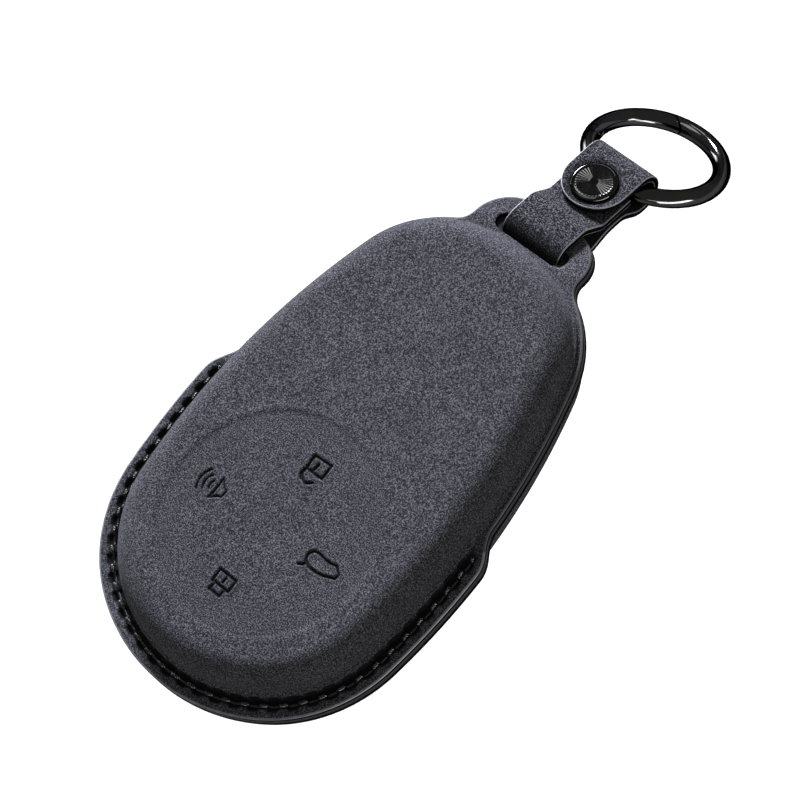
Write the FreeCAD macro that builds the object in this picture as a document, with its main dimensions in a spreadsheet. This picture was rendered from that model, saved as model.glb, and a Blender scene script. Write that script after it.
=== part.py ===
"""Moulded key fob cover with a sewn rim, a snap strap and a spring-gate ring.

Millimetres, +Z up. The origin is the middle of the flat back face, +Y runs to the ring.
Each half is a suede skin over a moulded core with a lining inside. The two halves are sewn
round the lower rim. A strap goes through the slots of the two upper tabs, round the ring and
back to a snap fastener.
"""
import FreeCAD, Part
import math
import os
import Sketcher

Vector = FreeCAD.Vector
X_AXIS = Vector(1, 0, 0)
Y_AXIS = Vector(0, 1, 0)
Z_AXIS = Vector(0, 0, 1)
LEVEL_TOLERANCE = 1e-4
EDGE_TOLERANCE = 1e-2
CUT_MARGIN = 1.0

SIZES = [
    # The moulded pocket, seen from the front
    ("pocket_length", 83.8, "dome length at the rim"),
    ("pocket_width", 52.2, "dome width at its widest"),
    ("widest_below", 6.6, "widest line below the middle"),
    ("bottom_radius", 28.0, "curve of the lower end"),
    ("corner_bearing", 33.4, "where the lower corner starts, degrees from the lower end"),
    ("side_radius", 120.0, "bow of the long sides"),
    ("shoulder_bearing", 17.5, "where the shoulder ends, degrees from the upper end"),
    ("top_radius", 30.0, "curve of the upper end"),
    # The moulded pocket, in section
    ("front_height", 7.3, "front face above the parting plane"),
    ("rear_depth", 10.2, "back face below the parting plane"),
    ("front_edge", 4.2, "rounding of the front edge"),
    ("rear_edge", 3.6, "rounding of the back edge"),
    ("wall_lean", 9.0, "lean of the side walls, degrees"),
    ("crease_fillet", 0.5, "fillet between wall and rim"),
    ("skin_thickness", 0.8, "suede skin"),
    ("core_thickness", 0.7, "moulded stiffener"),
    ("lining_thickness", 0.55, "lining"),
    ("disc_radius", 18.4, "round button field pressed into the front"),
    ("disc_depth", 0.25, "depth of the button field"),
    ("disc_below", 16.5, "button field below the middle"),
    # The rim, the flare where the sewn part ends and the tab
    ("rim_width", 3.5, "sewn rim outside the dome"),
    ("lip_width", 0.9, "unsewn lip outside the dome"),
    ("flare_below", 3.1, "start of the flare below the middle"),
    ("flare_length", 7.5, "length of the flare"),
    ("tab_width", 21.8, "tab for the strap"),
    ("tab_length", 7.5, "tab beyond the dome"),
    ("tab_corner", 6.4, "corner of the tab"),
    ("tab_blend", 3.4, "blend from the lip to the tab"),
    ("tab_bend", 0.6, "bend line of the tab beyond the dome"),
    ("tab_droop", 19.0, "tab below the parting plane, degrees"),
    ("slot_length", 14.4, "strap slot, along X"),
    ("slot_width", 3.5, "strap slot, along Y"),
    ("bar_length", 3.85, "tab left beyond the slot"),
    # The lockstitch
    ("stitch_pitch", 3.1, "hole to hole"),
    ("stitch_inset", 1.25, "seam outside the dome"),
    ("seam_end_below", 1.2, "upper seam ends below the middle"),
    ("thread_diameter", 0.6, "sewing thread"),
    ("thread_leg", 0.4, "leg of a stitch from its hole's centre"),
    ("thread_bend", 0.45, "bend of a stitch into its hole"),
    ("thread_lift", 0.04, "stitch above the rim"),
    ("awl_hole", 1.6, "stitch hole"),
    # The strap, in its own frame: distance along it from the slot, height across it
    ("strap_width", 11.5, "strap"),
    ("strap_thickness", 1.1, "strap leather"),
    ("strap_droop", 16.5, "strap below the parting plane at rest, degrees"),
    ("pivot_inset", 0.45, "swing axis below the slot's middle"),
    ("hump_height", 1.75, "upper run over the tab"),
    ("hump_end", 6.4, "where the upper run leaves the hump"),
    ("hump_bend", 2.5, "bend from the upper run into the slots"),
    ("under_height", 4.4, "lower run under the tab"),
    ("under_end", 6.6, "where the lower run leaves the tab"),
    ("snap_distance", 14.7, "snap centre from the swing axis"),
    ("flap_tip", 5.0, "flap tip from the snap's centre"),
    ("slope_foot", 0.5, "foot of the hump's slope beyond the flap's tip"),
    ("waist_height", 2.9, "lower run under the snap"),
    ("waist_start", 3.4, "start of the waist before the snap's centre"),
    ("waist_end", 0.2, "end of the waist beyond the snap's centre"),
    ("base_tip", 2.05, "end of the strap beyond the snap's centre"),
    ("fold_ahead", 4.9, "middle of the fold beyond the snap's centre"),
    ("dip_behind", 1.3, "where the lower run reaches its low level, before the fold's middle"),
    ("fold_drop", 2.125, "middle of the fold below the strap's axis"),
    ("fold_bore", 5.15, "clear width inside the fold"),
    ("bend_radius", 2.1, "middle of the leather in an S bend"),
    ("sweep_radius", 8.0, "gentle bends of the lower run"),
    ("dip_radius", 3.5, "bends from the waist down to the fold"),
    ("bend_straight", 0.02, "straight left between two quarter bends"),
    ("snap_gap", 0.7, "between the flap and the strap's base"),
    # The snap fastener
    ("cap_diameter", 7.7, "snap cap"),
    ("cap_height", 0.95, "cap above the flap"),
    ("cap_rim", 0.3, "bevel of the cap's rim"),
    ("cap_shoulder", 0.66, "top of the bevel above the flap"),
    ("cap_crown", 0.9, "height of the crown's edge above the flap"),
    ("crown_diameter", 4.6, "flat crown of the cap"),
    ("rivet_diameter", 1.2, "cap's rivet"),
    ("rivet_length", 0.6, "rivet below the flap's face"),
    ("socket_flange", 5.2, "socket flange under the flap"),
    ("socket_sheet", 0.25, "socket sheet metal"),
    ("cup_diameter", 4.0, "socket cup in the flap's hole"),
    ("cup_bore", 3.0, "inside of the cup"),
    ("groove_bore", 3.36, "spring groove in the socket"),
    ("groove_height", 0.42, "height of the spring groove"),
    ("snap_wire", 0.2, "snap spring wire"),
    ("snap_wire_gap", 0.02, "between the snap spring and its groove"),
    ("snap_wire_arc", 320.0, "sweep of the open snap spring, degrees"),
    ("stud_flange", 3.8, "stud flange on the base"),
    ("stud_sheet", 0.2, "stud sheet metal"),
    ("stud_diameter", 2.6, "stud head"),
    ("stud_tip", 1.7, "top of the stud's cone"),
    ("stud_shank", 0.6, "height where the cone starts"),
    ("stud_height", 1.0, "stud head above the base"),
    ("post_flange", 3.8, "post flange under the base"),
    ("post_sheet", 0.35, "post flange thickness"),
    ("post_diameter", 1.4, "post tube through the base"),
    ("post_reach", 0.75, "post tube inside the stud"),
    ("leather_clearance", 0.05, "hole in leather round a metal part"),
    # The spring-gate ring
    ("ring_diameter", 24.6, "ring, outside"),
    ("ring_wire", 3.0, "ring wire"),
    ("ring_droop", 38.0, "ring below the parting plane at rest, degrees"),
    ("ring_set", 1.0, "wire's near point behind the fold's middle"),
    ("hinge_angle", 200.0, "gate pin round the ring, degrees from +X"),
    ("catch_angle", 115.0, "free end of the gate, degrees from +X"),
    ("gate_gap", 0.25, "gap at the gate's free end"),
    ("gate_travel", 25.0, "gate's swing inwards, degrees"),
    ("knuckle_gap", 0.25, "gap round the gate's knuckle"),
    ("tongue_thickness", 1.1, "ring's tongue in the gate"),
    ("tongue_radius", 1.2, "round end of the tongue"),
    ("slit_clearance", 0.1, "gate's slit beside the tongue"),
    ("pin_diameter", 1.0, "gate pin"),
    ("pin_clearance", 0.05, "running clearance of the pin"),
    ("spring_bore", 1.4, "bore in the gate for the spring"),
    ("spring_depth", 5.6, "end of the bore from the pin"),
    ("plunger_diameter", 1.1, "spring plunger"),
    ("plunger_length", 1.5, "spring plunger"),
    ("coil_diameter", 1.1, "gate spring, outside"),
    ("coil_wire", 0.22, "gate spring wire"),
    ("coil_turns", 5.0, "gate spring"),
    ("seat_gap", 0.1, "gap at the ends of the spring and plunger"),
]

doc = FreeCAD.newDocument("key_fob_cover")
sheet = doc.addObject("Spreadsheet::Sheet", "sizes")
for row, (alias, value, note) in enumerate(SIZES, start=1):
    sheet.set(f"A{row}", note)
    sheet.set(f"B{row}", str(value))
    sheet.setAlias(f"B{row}", alias)
doc.recompute()

parts = []


def size(alias):
    return float(sheet.get(alias))


def feature(label, shape, placement):
    """A piece whose shape is worked out here from the sheet."""
    piece = doc.addObject("Part::Feature", label)
    piece.Label = label
    piece.Shape = shape
    piece.Placement = placement
    parts.append(piece)
    return piece


# Plan curves of the cover


def polar(centre, radius, angle):
    return centre + Vector(math.cos(angle), math.sin(angle), 0) * radius


def bearing(centre, point):
    return math.atan2(point.y - centre.y, point.x - centre.x)


def arc(centre, radius, start, end):
    """The arc between two bearings, the short way round."""
    return Part.Arc(
        polar(centre, radius, start), polar(centre, radius, (start + end) / 2), polar(centre, radius, end)
    ).toShape()


def tangent_arc(hub, hub_radius, angle):
    """Centre and radius of the arc that leaves an end's circle at a bearing and touches the side's circle."""
    ray = polar(Vector(), 1, angle)
    line = hub - SIDE
    spare = size("side_radius") - hub_radius
    shift = (spare**2 - line.Length**2) / (2 * (line.dot(ray) - spare))
    return hub + ray * shift, hub_radius - shift


POCKET_END = size("pocket_length") / 2
BOTTOM = Vector(0, size("bottom_radius") - POCKET_END, 0)
TOP = Vector(0, POCKET_END - size("top_radius"), 0)
SIDE = Vector(size("pocket_width") / 2 - size("side_radius"), -size("widest_below"), 0)
CORNER_START = math.radians(size("corner_bearing") - 90)
SHOULDER_END = math.radians(90 - size("shoulder_bearing"))
CORNER, CORNER_RADIUS = tangent_arc(BOTTOM, size("bottom_radius"), CORNER_START)
SHOULDER, SHOULDER_RADIUS = tangent_arc(TOP, size("top_radius"), SHOULDER_END)


def bottom_edge(offset):
    return arc(BOTTOM, size("bottom_radius") + offset, -math.pi / 2, CORNER_START)


def corner_edge(offset):
    return arc(CORNER, CORNER_RADIUS + offset, CORNER_START, bearing(SIDE, CORNER))


def side_angle(offset, y):
    """Bearing of the side's point at height y."""
    return math.asin((y - SIDE.y) / (size("side_radius") + offset))


def side_edge(offset, start=None, end=None):
    start = bearing(SIDE, CORNER) if start is None else side_angle(offset, start)
    end = bearing(SIDE, SHOULDER) if end is None else side_angle(offset, end)
    return arc(SIDE, size("side_radius") + offset, start, end)


def shoulder_edge(offset, end=None):
    end = SHOULDER_END if end is None else end
    return arc(SHOULDER, SHOULDER_RADIUS + offset, bearing(SIDE, SHOULDER), end)


def top_edge(offset):
    return arc(TOP, size("top_radius") + offset, SHOULDER_END, math.pi / 2)


def with_mirror(edges):
    """A chain of edges on the right, closed by its mirror image on the left."""
    left = [edge.mirror(Vector(), X_AXIS) for edge in edges]
    return Part.Wire(Part.__sortEdges__(edges + left))


def dome_wire(offset, height):
    edges = [
        bottom_edge(offset),
        corner_edge(offset),
        side_edge(offset),
        shoulder_edge(offset),
        top_edge(offset),
    ]
    wire = with_mirror(edges)
    wire.translate(Z_AXIS * height)
    return wire


TAB_END = POCKET_END + size("tab_length")
SLOT_TOP = TAB_END - size("bar_length")
SLOT_MIDDLE = SLOT_TOP - size("slot_width") / 2
BEND_Y = POCKET_END + size("tab_bend")
TAB_DROOP = math.radians(size("tab_droop"))


def flare_edge():
    """S curve from the wide sewn rim to the narrow lip."""
    low = -size("flare_below")
    high = low + size("flare_length")
    reach = size("flare_length") / 2
    ends = []
    for offset, y in ((size("rim_width"), low), (size("lip_width"), high)):
        angle = side_angle(offset, y)
        point = polar(SIDE, size("side_radius") + offset, angle)
        ends.append((point, Vector(-math.sin(angle), math.cos(angle), 0)))
    curve = Part.BezierCurve()
    (start, leave), (finish, arrive) = ends
    curve.setPoles([start, start + leave * reach, finish - arrive * reach, finish])
    return curve.toShape()


def rim_face():
    """Plan of the rim, the lip and the tab, which all four layers share."""
    rim = size("rim_width")
    lip = size("lip_width")
    low = -size("flare_below")
    high = low + size("flare_length")
    half = size("tab_width") / 2
    blend = size("tab_blend")
    corner = size("tab_corner")
    lip_radius = SHOULDER_RADIUS + lip
    blend_x = half + blend
    blend_y = SHOULDER.y + math.sqrt((lip_radius + blend) ** 2 - (blend_x - SHOULDER.x) ** 2)
    blend_centre = Vector(blend_x, blend_y, 0)
    leave = bearing(SHOULDER, blend_centre)
    corner_centre = Vector(half - corner, TAB_END - corner, 0)
    edges = [
        bottom_edge(rim),
        corner_edge(rim),
        side_edge(rim, end=low),
        flare_edge(),
        side_edge(lip, start=high),
        shoulder_edge(lip, end=leave),
        arc(blend_centre, blend, leave - math.pi, -math.pi),
        Part.makeLine(Vector(half, blend_y, 0), Vector(half, corner_centre.y, 0)),
        arc(corner_centre, corner, 0, math.pi / 2),
        Part.makeLine(Vector(corner_centre.x, TAB_END, 0), Vector(0, TAB_END, 0)),
    ]
    return Part.Face(with_mirror(edges))


def bent_layer(low, high, droop):
    """Layer between two levels, flat over the pocket and drooping beyond the tab's bend."""
    slope = Vector(0, math.cos(droop), -math.sin(droop)) * 2 * size("tab_length")
    half = size("pocket_width") / 2 + size("rim_width") + CUT_MARGIN
    start = -POCKET_END - size("rim_width") - CUT_MARGIN
    sides = []
    for level in (low, high):
        bend = Vector(-half, BEND_Y + level * math.tan(droop / 2), level)
        sides.append([Vector(-half, start, level), bend, bend + slope])
    under, over = sides
    section = Part.Face(Part.makePolygon(under + over[::-1] + under[:1]))
    return section.extrude(X_AXIS * 2 * half)


def plate(face, low, high, droop):
    """Flat layer of the rim with its drooping tab."""
    prism = face.extrude(Z_AXIS * size("pocket_length"))
    prism.translate(Z_AXIS * (-size("pocket_length") / 2))
    return prism.common(bent_layer(low, high, droop))


def dome(inset, height, edge_radius):
    """Solid dome on the parting plane, inside the skin's outer face by inset."""
    top = height - inset
    lean = top * math.tan(math.radians(size("wall_lean")))
    base = dome_wire(-inset, 0)
    face = dome_wire(-inset - lean, top)
    solid = Part.makeLoft([base, face], True, True)
    rim = [edge for edge in solid.Edges if edge.BoundBox.ZMin > top - LEVEL_TOLERANCE]
    return solid.makeFillet(edge_radius - inset, rim)


def slot_cutter():
    """Prism through the tab with round ends."""
    radius = size("slot_width") / 2
    reach = size("slot_length") / 2 - radius
    drop = (SLOT_TOP - BEND_Y) * math.tan(TAB_DROOP)
    length = size("skin_thickness") + size("lining_thickness") + drop + CUT_MARGIN
    middle = Part.makeBox(2 * reach, 2 * radius, 2 * length, Vector(-reach, SLOT_MIDDLE - radius, -length))
    ends = [
        Part.makeCylinder(radius, 2 * length, Vector(x, SLOT_MIDDLE, -length)) for x in (-reach, reach)
    ]
    return middle.multiFuse(ends).removeSplitter()


def seam_points():
    """Stitch holes from the right-hand end of the seam round the bottom to the left."""
    inset = size("stitch_inset")
    right = [bottom_edge(inset), corner_edge(inset), side_edge(inset, end=-size("seam_end_below"))]
    left = [edge.mirror(Vector(), X_AXIS) for edge in right]
    path = Part.Wire(Part.__sortEdges__(right + left))
    count = round(path.Length / size("stitch_pitch"))
    return path.discretize(Number=count + 1)


SEAM = seam_points()


def awl_holes():
    reach = size("skin_thickness") + size("lining_thickness")
    radius = size("awl_hole") / 2
    holes = [Part.makeCylinder(radius, 2 * reach, point - Z_AXIS * reach) for point in SEAM]
    return Part.makeCompound(holes)


def above(shape, level):
    """The part of a shape above a level."""
    box = shape.BoundBox
    block = Part.makeBox(
        box.XLength + 2 * CUT_MARGIN,
        box.YLength + 2 * CUT_MARGIN,
        box.ZMax - level + CUT_MARGIN,
        Vector(box.XMin - CUT_MARGIN, box.YMin - CUT_MARGIN, level),
    )
    return shape.common(block)


def middle_of(edge):
    return Part.Vertex(edge.valueAt(sum(edge.ParameterRange) / 2))


def crease(shape, level):
    """Fillet between the dome's wall and the rim."""
    outline = dome_wire(-level * math.tan(math.radians(size("wall_lean"))), level)
    edges = [
        edge
        for edge in shape.Edges
        if abs(edge.BoundBox.ZMin - level) < LEVEL_TOLERANCE
        and abs(edge.BoundBox.ZMax - level) < LEVEL_TOLERANCE
        and outline.distToShape(middle_of(edge))[0] < EDGE_TOLERANCE
    ]
    return shape.makeFillet(size("crease_fillet"), edges)


def half_shells(height, edge_radius, droop, pressed):
    """Skin, core and lining of one half, with its dome upwards from the parting plane."""
    skin = size("skin_thickness")
    core = size("core_thickness")
    lining = size("lining_thickness")
    rim_top = skin + lining
    face = rim_face()
    openings = [slot_cutter(), awl_holes()]
    outer = dome(0, height, edge_radius)
    under_skin = dome(skin, height, edge_radius)
    under_core = dome(skin + core, height, edge_radius)
    inside = dome(skin + core + lining, height, edge_radius)
    shell = plate(face, lining, rim_top, droop).fuse(above(outer, lining)).removeSplitter()
    shell = crease(shell, rim_top)
    if pressed:
        shell = shell.cut(button_field(height))
    shell = shell.cut(under_skin)
    stiffener = above(under_skin, lining).cut(under_core)
    inner = plate(face, 0, lining, droop).fuse(under_core).removeSplitter().cut(inside)
    for opening in openings:
        shell = shell.cut(opening)
        inner = inner.cut(opening)
    return shell, stiffener, inner


def button_field(height):
    """Shallow round dish in the front face."""
    depth = size("disc_depth")
    radius = size("disc_radius")
    ball = (radius**2 + depth**2) / (2 * depth)
    return Part.makeSphere(ball, Vector(0, -size("disc_below"), height - depth + ball))


def solid_of(shape):
    """The one solid of a shape."""
    return max(shape.Solids, key=lambda solid: solid.Volume)


PARTING = FreeCAD.Placement(Z_AXIS * size("rear_depth"), FreeCAD.Rotation())


def make_cover():
    layers = ("skin", "core", "lining")
    front = half_shells(size("front_height"), size("front_edge"), TAB_DROOP, pressed=True)
    rear = half_shells(size("rear_depth"), size("rear_edge"), -TAB_DROOP, pressed=False)
    for layer, shape in zip(layers, front):
        feature("front_" + layer, solid_of(shape), PARTING)
    for layer, shape in zip(layers, rear):
        feature("rear_" + layer, solid_of(shape.mirror(Vector(), Z_AXIS)), PARTING)


# The seam


def stitch(length):
    """One stitch along X: a bar on the rim with a leg into the hole at each end."""
    radius = size("thread_diameter") / 2
    bend = size("thread_bend")
    crown = size("skin_thickness") + size("lining_thickness") + size("thread_lift") + radius
    half = length / 2
    shoulder = bend * math.cos(math.pi / 4)
    path = []
    for side in (-1, 1):
        foot = Vector(side * half, 0, 0)
        knee = Vector(side * half, 0, crown - bend)
        turn = Vector(side * (half - bend + shoulder), 0, crown - bend + shoulder)
        crest = Vector(side * (half - bend), 0, crown)
        path.append(Part.makeLine(foot, knee))
        path.append(Part.Arc(knee, turn, crest).toShape())
    path.append(Part.makeLine(Vector(bend - half, 0, crown), Vector(half - bend, 0, crown)))
    wire = Part.Wire(Part.__sortEdges__(path))
    start = wire.Vertexes[0].Point
    section = Part.Wire(Part.makeCircle(radius, start, Z_AXIS))
    return Part.Solid(wire.makePipeShell([section], True, False))


def make_seam():
    stitches = []
    for start, end in zip(SEAM, SEAM[1:]):
        run = end - start
        piece = stitch(run.Length - 2 * size("thread_leg"))
        piece.rotate(Vector(), Z_AXIS, math.degrees(math.atan2(run.y, run.x)))
        piece.translate((start + end) / 2)
        stitches.append(piece)
    front = Part.makeCompound(stitches)
    feature("needle_thread", front, PARTING)
    feature("bobbin_thread", front.mirror(Vector(), Z_AXIS), PARTING)


# The strap


PIVOT = Vector(0, SLOT_MIDDLE - size("pivot_inset"), size("rear_depth"))
STRAP = FreeCAD.Placement(PIVOT, FreeCAD.Rotation(X_AXIS, -size("strap_droop")))
HALF_LEATHER = size("strap_thickness") / 2
FOLD_RADIUS = size("fold_bore") / 2 + HALF_LEATHER
FLAP_MIDDLE = FOLD_RADIUS - size("fold_drop")
BASE_MIDDLE = FLAP_MIDDLE - size("snap_gap") - size("strap_thickness")
FOLD_DISTANCE = size("snap_distance") + size("fold_ahead")
FLAP_END = size("snap_distance") - size("flap_tip")


def on_strap(along, height):
    """Placement at a point of the strap's middle line, with Z across the strap."""
    return STRAP.multiply(FreeCAD.Placement(Vector(0, along, height), FreeCAD.Rotation()))


def band_edges(points, offset):
    """Edges beside a line of (along, height, bend radius) points, offset to its left."""
    spots = [Vector(0, along, height) for along, height, radius in points]
    edges = []
    at = None
    for index, spot in enumerate(spots):
        into = (spot - spots[index - 1]).normalize() if index else None
        out = (spots[index + 1] - spot).normalize() if index + 1 < len(spots) else None
        if into is None or out is None:
            run = out or into
            beside = spot + X_AXIS.cross(run) * offset
            if at:
                edges.append(Part.makeLine(at, beside))
            at = beside
            continue
        radius = points[index][2]
        turn = into.getAngle(out)
        left = X_AXIS.cross(into).dot(out) > 0
        back = radius * math.tan(turn / 2)
        hub = spot + (out - into).normalize() * (radius / math.cos(turn / 2))
        beside_radius = radius - offset if left else radius + offset
        start = spot - into * back + X_AXIS.cross(into) * offset
        end = spot + out * back + X_AXIS.cross(out) * offset
        middle = hub + (into - out).normalize() * beside_radius
        edges.append(Part.makeLine(at, start))
        edges.append(Part.Arc(start, middle, end).toShape())
        at = end
    return edges


def band(points):
    """Strip of leather whose middle line goes through the points."""
    left = band_edges(points, HALF_LEATHER)
    right = band_edges(points, -HALF_LEATHER)
    caps = [
        Part.makeLine(left[0].Vertexes[0].Point, right[0].Vertexes[0].Point),
        Part.makeLine(left[-1].Vertexes[-1].Point, right[-1].Vertexes[-1].Point),
    ]
    face = Part.Face(Part.Wire(Part.__sortEdges__(left + right + caps)))
    strip = face.extrude(X_AXIS * size("strap_width"))
    strip.translate(X_AXIS * (-size("strap_width") / 2))
    return strip


def make_strap_loop():
    """From under the snap, over the tab, down the slots, back under and round the ring."""
    bend = size("bend_radius")
    under_bend = size("hump_height") + size("under_height") - size("hump_bend") - size("bend_straight")
    fold_bend = FOLD_RADIUS - size("bend_straight") / 2
    fold_end = FOLD_DISTANCE + FOLD_RADIUS
    fold_low = FLAP_MIDDLE - 2 * FOLD_RADIUS
    points = [
        (size("snap_distance") + size("base_tip"), BASE_MIDDLE, 0),
        (FLAP_END + size("slope_foot"), BASE_MIDDLE, bend),
        (size("hump_end"), size("hump_height"), bend),
        (0, size("hump_height"), size("hump_bend")),
        (0, -size("under_height"), under_bend),
        (size("under_end"), -size("under_height"), size("sweep_radius")),
        (size("snap_distance") - size("waist_start"), -size("waist_height"), size("sweep_radius")),
        (size("snap_distance") + size("waist_end"), -size("waist_height"), size("dip_radius")),
        (FOLD_DISTANCE - size("dip_behind"), fold_low, size("dip_radius")),
        (fold_end, fold_low, fold_bend),
        (fold_end, FLAP_MIDDLE, fold_bend),
        (FOLD_DISTANCE, FLAP_MIDDLE, 0),
    ]
    strip = band(points)
    hole = size("post_diameter") / 2 + size("leather_clearance")
    low = BASE_MIDDLE - HALF_LEATHER
    drill = Part.makeCylinder(
        hole, size("strap_thickness"), Vector(0, size("snap_distance"), low), Z_AXIS
    )
    feature("strap_loop", solid_of(strip.cut(drill)), STRAP)


def sketch_on(body, role, name):
    """Sketch on one of the body's own origin planes."""
    plane = next(item for item in body.Origin.OriginFeatures if item.Role == role)
    sketch = body.newObject("Sketcher::SketchObject", name)
    sketch.AttachmentSupport = (plane, "")
    sketch.MapMode = "FlatFace"
    return sketch


def bind(sketch, kind, *places, formula):
    """Add a measured constraint that follows the sheet."""
    value = sheet.evalExpression(formula)
    index = sketch.addConstraint(Sketcher.Constraint(kind, *places, float(value)))
    sketch.setExpression(f"Constraints[{index}]", formula)


def body_named(label):
    body = doc.addObject("PartDesign::Body", label)
    body.Label = label
    return body


def make_strap_flap():
    """Flap from the top of the fold to its round tip, with the snap's hole."""
    body = body_named("strap_flap")
    half = size("strap_width") / 2
    round_y = FLAP_END + half
    sketch = sketch_on(body, "XY_Plane", "flap_plan")
    sketch.addGeometry(Part.LineSegment(Vector(half, FOLD_DISTANCE, 0), Vector(-half, FOLD_DISTANCE, 0)))
    sketch.addGeometry(Part.LineSegment(Vector(-half, FOLD_DISTANCE, 0), Vector(-half, round_y, 0)))
    circle = Part.Circle(Vector(0, round_y, 0), Z_AXIS, half)
    sketch.addGeometry(Part.ArcOfCircle(circle, math.pi, 2 * math.pi))
    sketch.addGeometry(Part.LineSegment(Vector(half, round_y, 0), Vector(half, FOLD_DISTANCE, 0)))
    snap_hole = size("cup_diameter") / 2 + size("leather_clearance")
    sketch.addGeometry(Part.Circle(Vector(0, size("snap_distance"), 0), Z_AXIS, snap_hole))
    ends = [(0, 2, 1, 1), (1, 2, 2, 1), (2, 2, 3, 1), (3, 2, 0, 1)]
    for first, first_end, second, second_end in ends:
        sketch.addConstraint(Sketcher.Constraint("Coincident", first, first_end, second, second_end))
    sketch.addConstraint(Sketcher.Constraint("Horizontal", 0))
    sketch.addConstraint(Sketcher.Constraint("Vertical", 1))
    sketch.addConstraint(Sketcher.Constraint("Vertical", 3))
    sketch.addConstraint(Sketcher.Constraint("PointOnObject", 2, 3, -2))
    sketch.addConstraint(Sketcher.Constraint("PointOnObject", 4, 3, -2))
    tip_centre = "sizes.snap_distance - sizes.flap_tip + sizes.strap_width / 2"
    bind(sketch, "DistanceY", -1, 1, 0, 1, formula="sizes.snap_distance + sizes.fold_ahead")
    bind(sketch, "DistanceY", -1, 1, 2, 1, formula=tip_centre)
    bind(sketch, "DistanceY", -1, 1, 2, 3, formula=tip_centre)
    bind(sketch, "Radius", 2, formula="sizes.strap_width / 2")
    bind(sketch, "DistanceY", -1, 1, 4, 3, formula="sizes.snap_distance")
    bind(sketch, "Radius", 4, formula="sizes.cup_diameter / 2 + sizes.leather_clearance")
    pad = body.newObject("PartDesign::Pad", "flap_leather")
    pad.Profile = sketch
    pad.setExpression("Length", "sizes.strap_thickness")
    body.Placement = on_strap(0, FLAP_MIDDLE - HALF_LEATHER)
    parts.append(body)


# The snap fastener


def turned_body(label, corners, placement):
    """A turned piece: corners are (radius, height) formulas in order round its half section."""
    body = body_named(label)
    sketch = sketch_on(body, "XZ_Plane", label + "_section")
    spots = [
        Vector(sheet.evalExpression(radius), sheet.evalExpression(height), 0) for radius, height in corners
    ]
    count = len(spots)
    for index, spot in enumerate(spots):
        sketch.addGeometry(Part.LineSegment(spot, spots[(index + 1) % count]))
    for index in range(count):
        sketch.addConstraint(Sketcher.Constraint("Coincident", index, 2, (index + 1) % count, 1))
    for index, (radius, height) in enumerate(corners):
        if radius == "0":
            sketch.addConstraint(Sketcher.Constraint("PointOnObject", index, 1, -2))
        else:
            bind(sketch, "DistanceX", -1, 1, index, 1, formula=radius)
        if height == "0":
            sketch.addConstraint(Sketcher.Constraint("PointOnObject", index, 1, -1))
        else:
            bind(sketch, "DistanceY", -1, 1, index, 1, formula=height)
    turned = body.newObject("PartDesign::Revolution", label + "_turned")
    turned.Profile = sketch
    turned.ReferenceAxis = (sketch, ["V_Axis"])
    turned.Angle = 360
    body.Placement = placement
    parts.append(body)


FLAP_TOP = FLAP_MIDDLE + HALF_LEATHER
FLAP_LOW = FLAP_MIDDLE - HALF_LEATHER
BASE_TOP = BASE_MIDDLE + HALF_LEATHER
BASE_LOW = BASE_MIDDLE - HALF_LEATHER


def make_snap():
    at = size("snap_distance")
    rivet = "sizes.rivet_diameter / 2"
    cap = "sizes.cap_diameter / 2"
    face = "sizes.rivet_length"
    turned_body(
        "snap_cap",
        [
            ("0", "0"),
            (rivet, "0"),
            (rivet, face),
            (f"{cap} - sizes.cap_rim", face),
            (cap, f"{face} + sizes.cap_rim"),
            (f"{cap} - sizes.cap_rim", f"{face} + sizes.cap_shoulder"),
            ("sizes.crown_diameter / 2", f"{face} + sizes.cap_crown"),
            ("0", f"{face} + sizes.cap_height"),
        ],
        on_strap(at, FLAP_TOP - size("rivet_length")),
    )
    sheet_metal = "sizes.socket_sheet"
    cup_top = "sizes.socket_sheet + sizes.strap_thickness - sizes.socket_sheet / 2"
    turned_body(
        "snap_socket",
        [
            ("sizes.groove_bore / 2", "0"),
            ("sizes.socket_flange / 2", "0"),
            ("sizes.socket_flange / 2", sheet_metal),
            ("sizes.cup_diameter / 2", sheet_metal),
            ("sizes.cup_diameter / 2", cup_top),
            (rivet, cup_top),
            (rivet, f"{cup_top} - sizes.socket_sheet"),
            ("sizes.cup_bore / 2", f"{cup_top} - sizes.socket_sheet"),
            ("sizes.cup_bore / 2", "sizes.groove_height"),
            ("sizes.groove_bore / 2", "sizes.groove_height"),
        ],
        on_strap(at, FLAP_LOW - size("socket_sheet")),
    )
    wire = doc.addObject("Part::Torus", "snap_spring")
    wire.setExpression("Radius1", "sizes.groove_bore / 2 - sizes.snap_wire / 2 - sizes.snap_wire_gap")
    wire.setExpression("Radius2", "sizes.snap_wire / 2")
    wire.setExpression("Angle3", "sizes.snap_wire_arc")
    wire.Placement = on_strap(at, FLAP_LOW - size("socket_sheet") + size("groove_height") / 2)
    parts.append(wire)
    post = "sizes.post_diameter / 2"
    turned_body(
        "snap_stud",
        [
            (post, "0"),
            ("sizes.stud_flange / 2", "0"),
            ("sizes.stud_flange / 2", "sizes.stud_sheet"),
            ("sizes.stud_diameter / 2", "sizes.stud_sheet"),
            ("sizes.stud_diameter / 2", "sizes.stud_shank"),
            ("sizes.stud_tip / 2", "sizes.stud_height"),
            ("0", "sizes.stud_height"),
            ("0", "sizes.post_reach"),
            (post, "sizes.post_reach"),
        ],
        on_strap(at, BASE_TOP),
    )
    turned_body(
        "snap_post",
        [
            ("0", "0"),
            ("sizes.post_flange / 2", "0"),
            ("sizes.post_flange / 2", "sizes.post_sheet"),
            (post, "sizes.post_sheet"),
            (post, "sizes.post_sheet + sizes.strap_thickness + sizes.post_reach"),
            ("0", "sizes.post_sheet + sizes.strap_thickness + sizes.post_reach"),
        ],
        on_strap(at, BASE_LOW - size("post_sheet")),
    )


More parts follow.
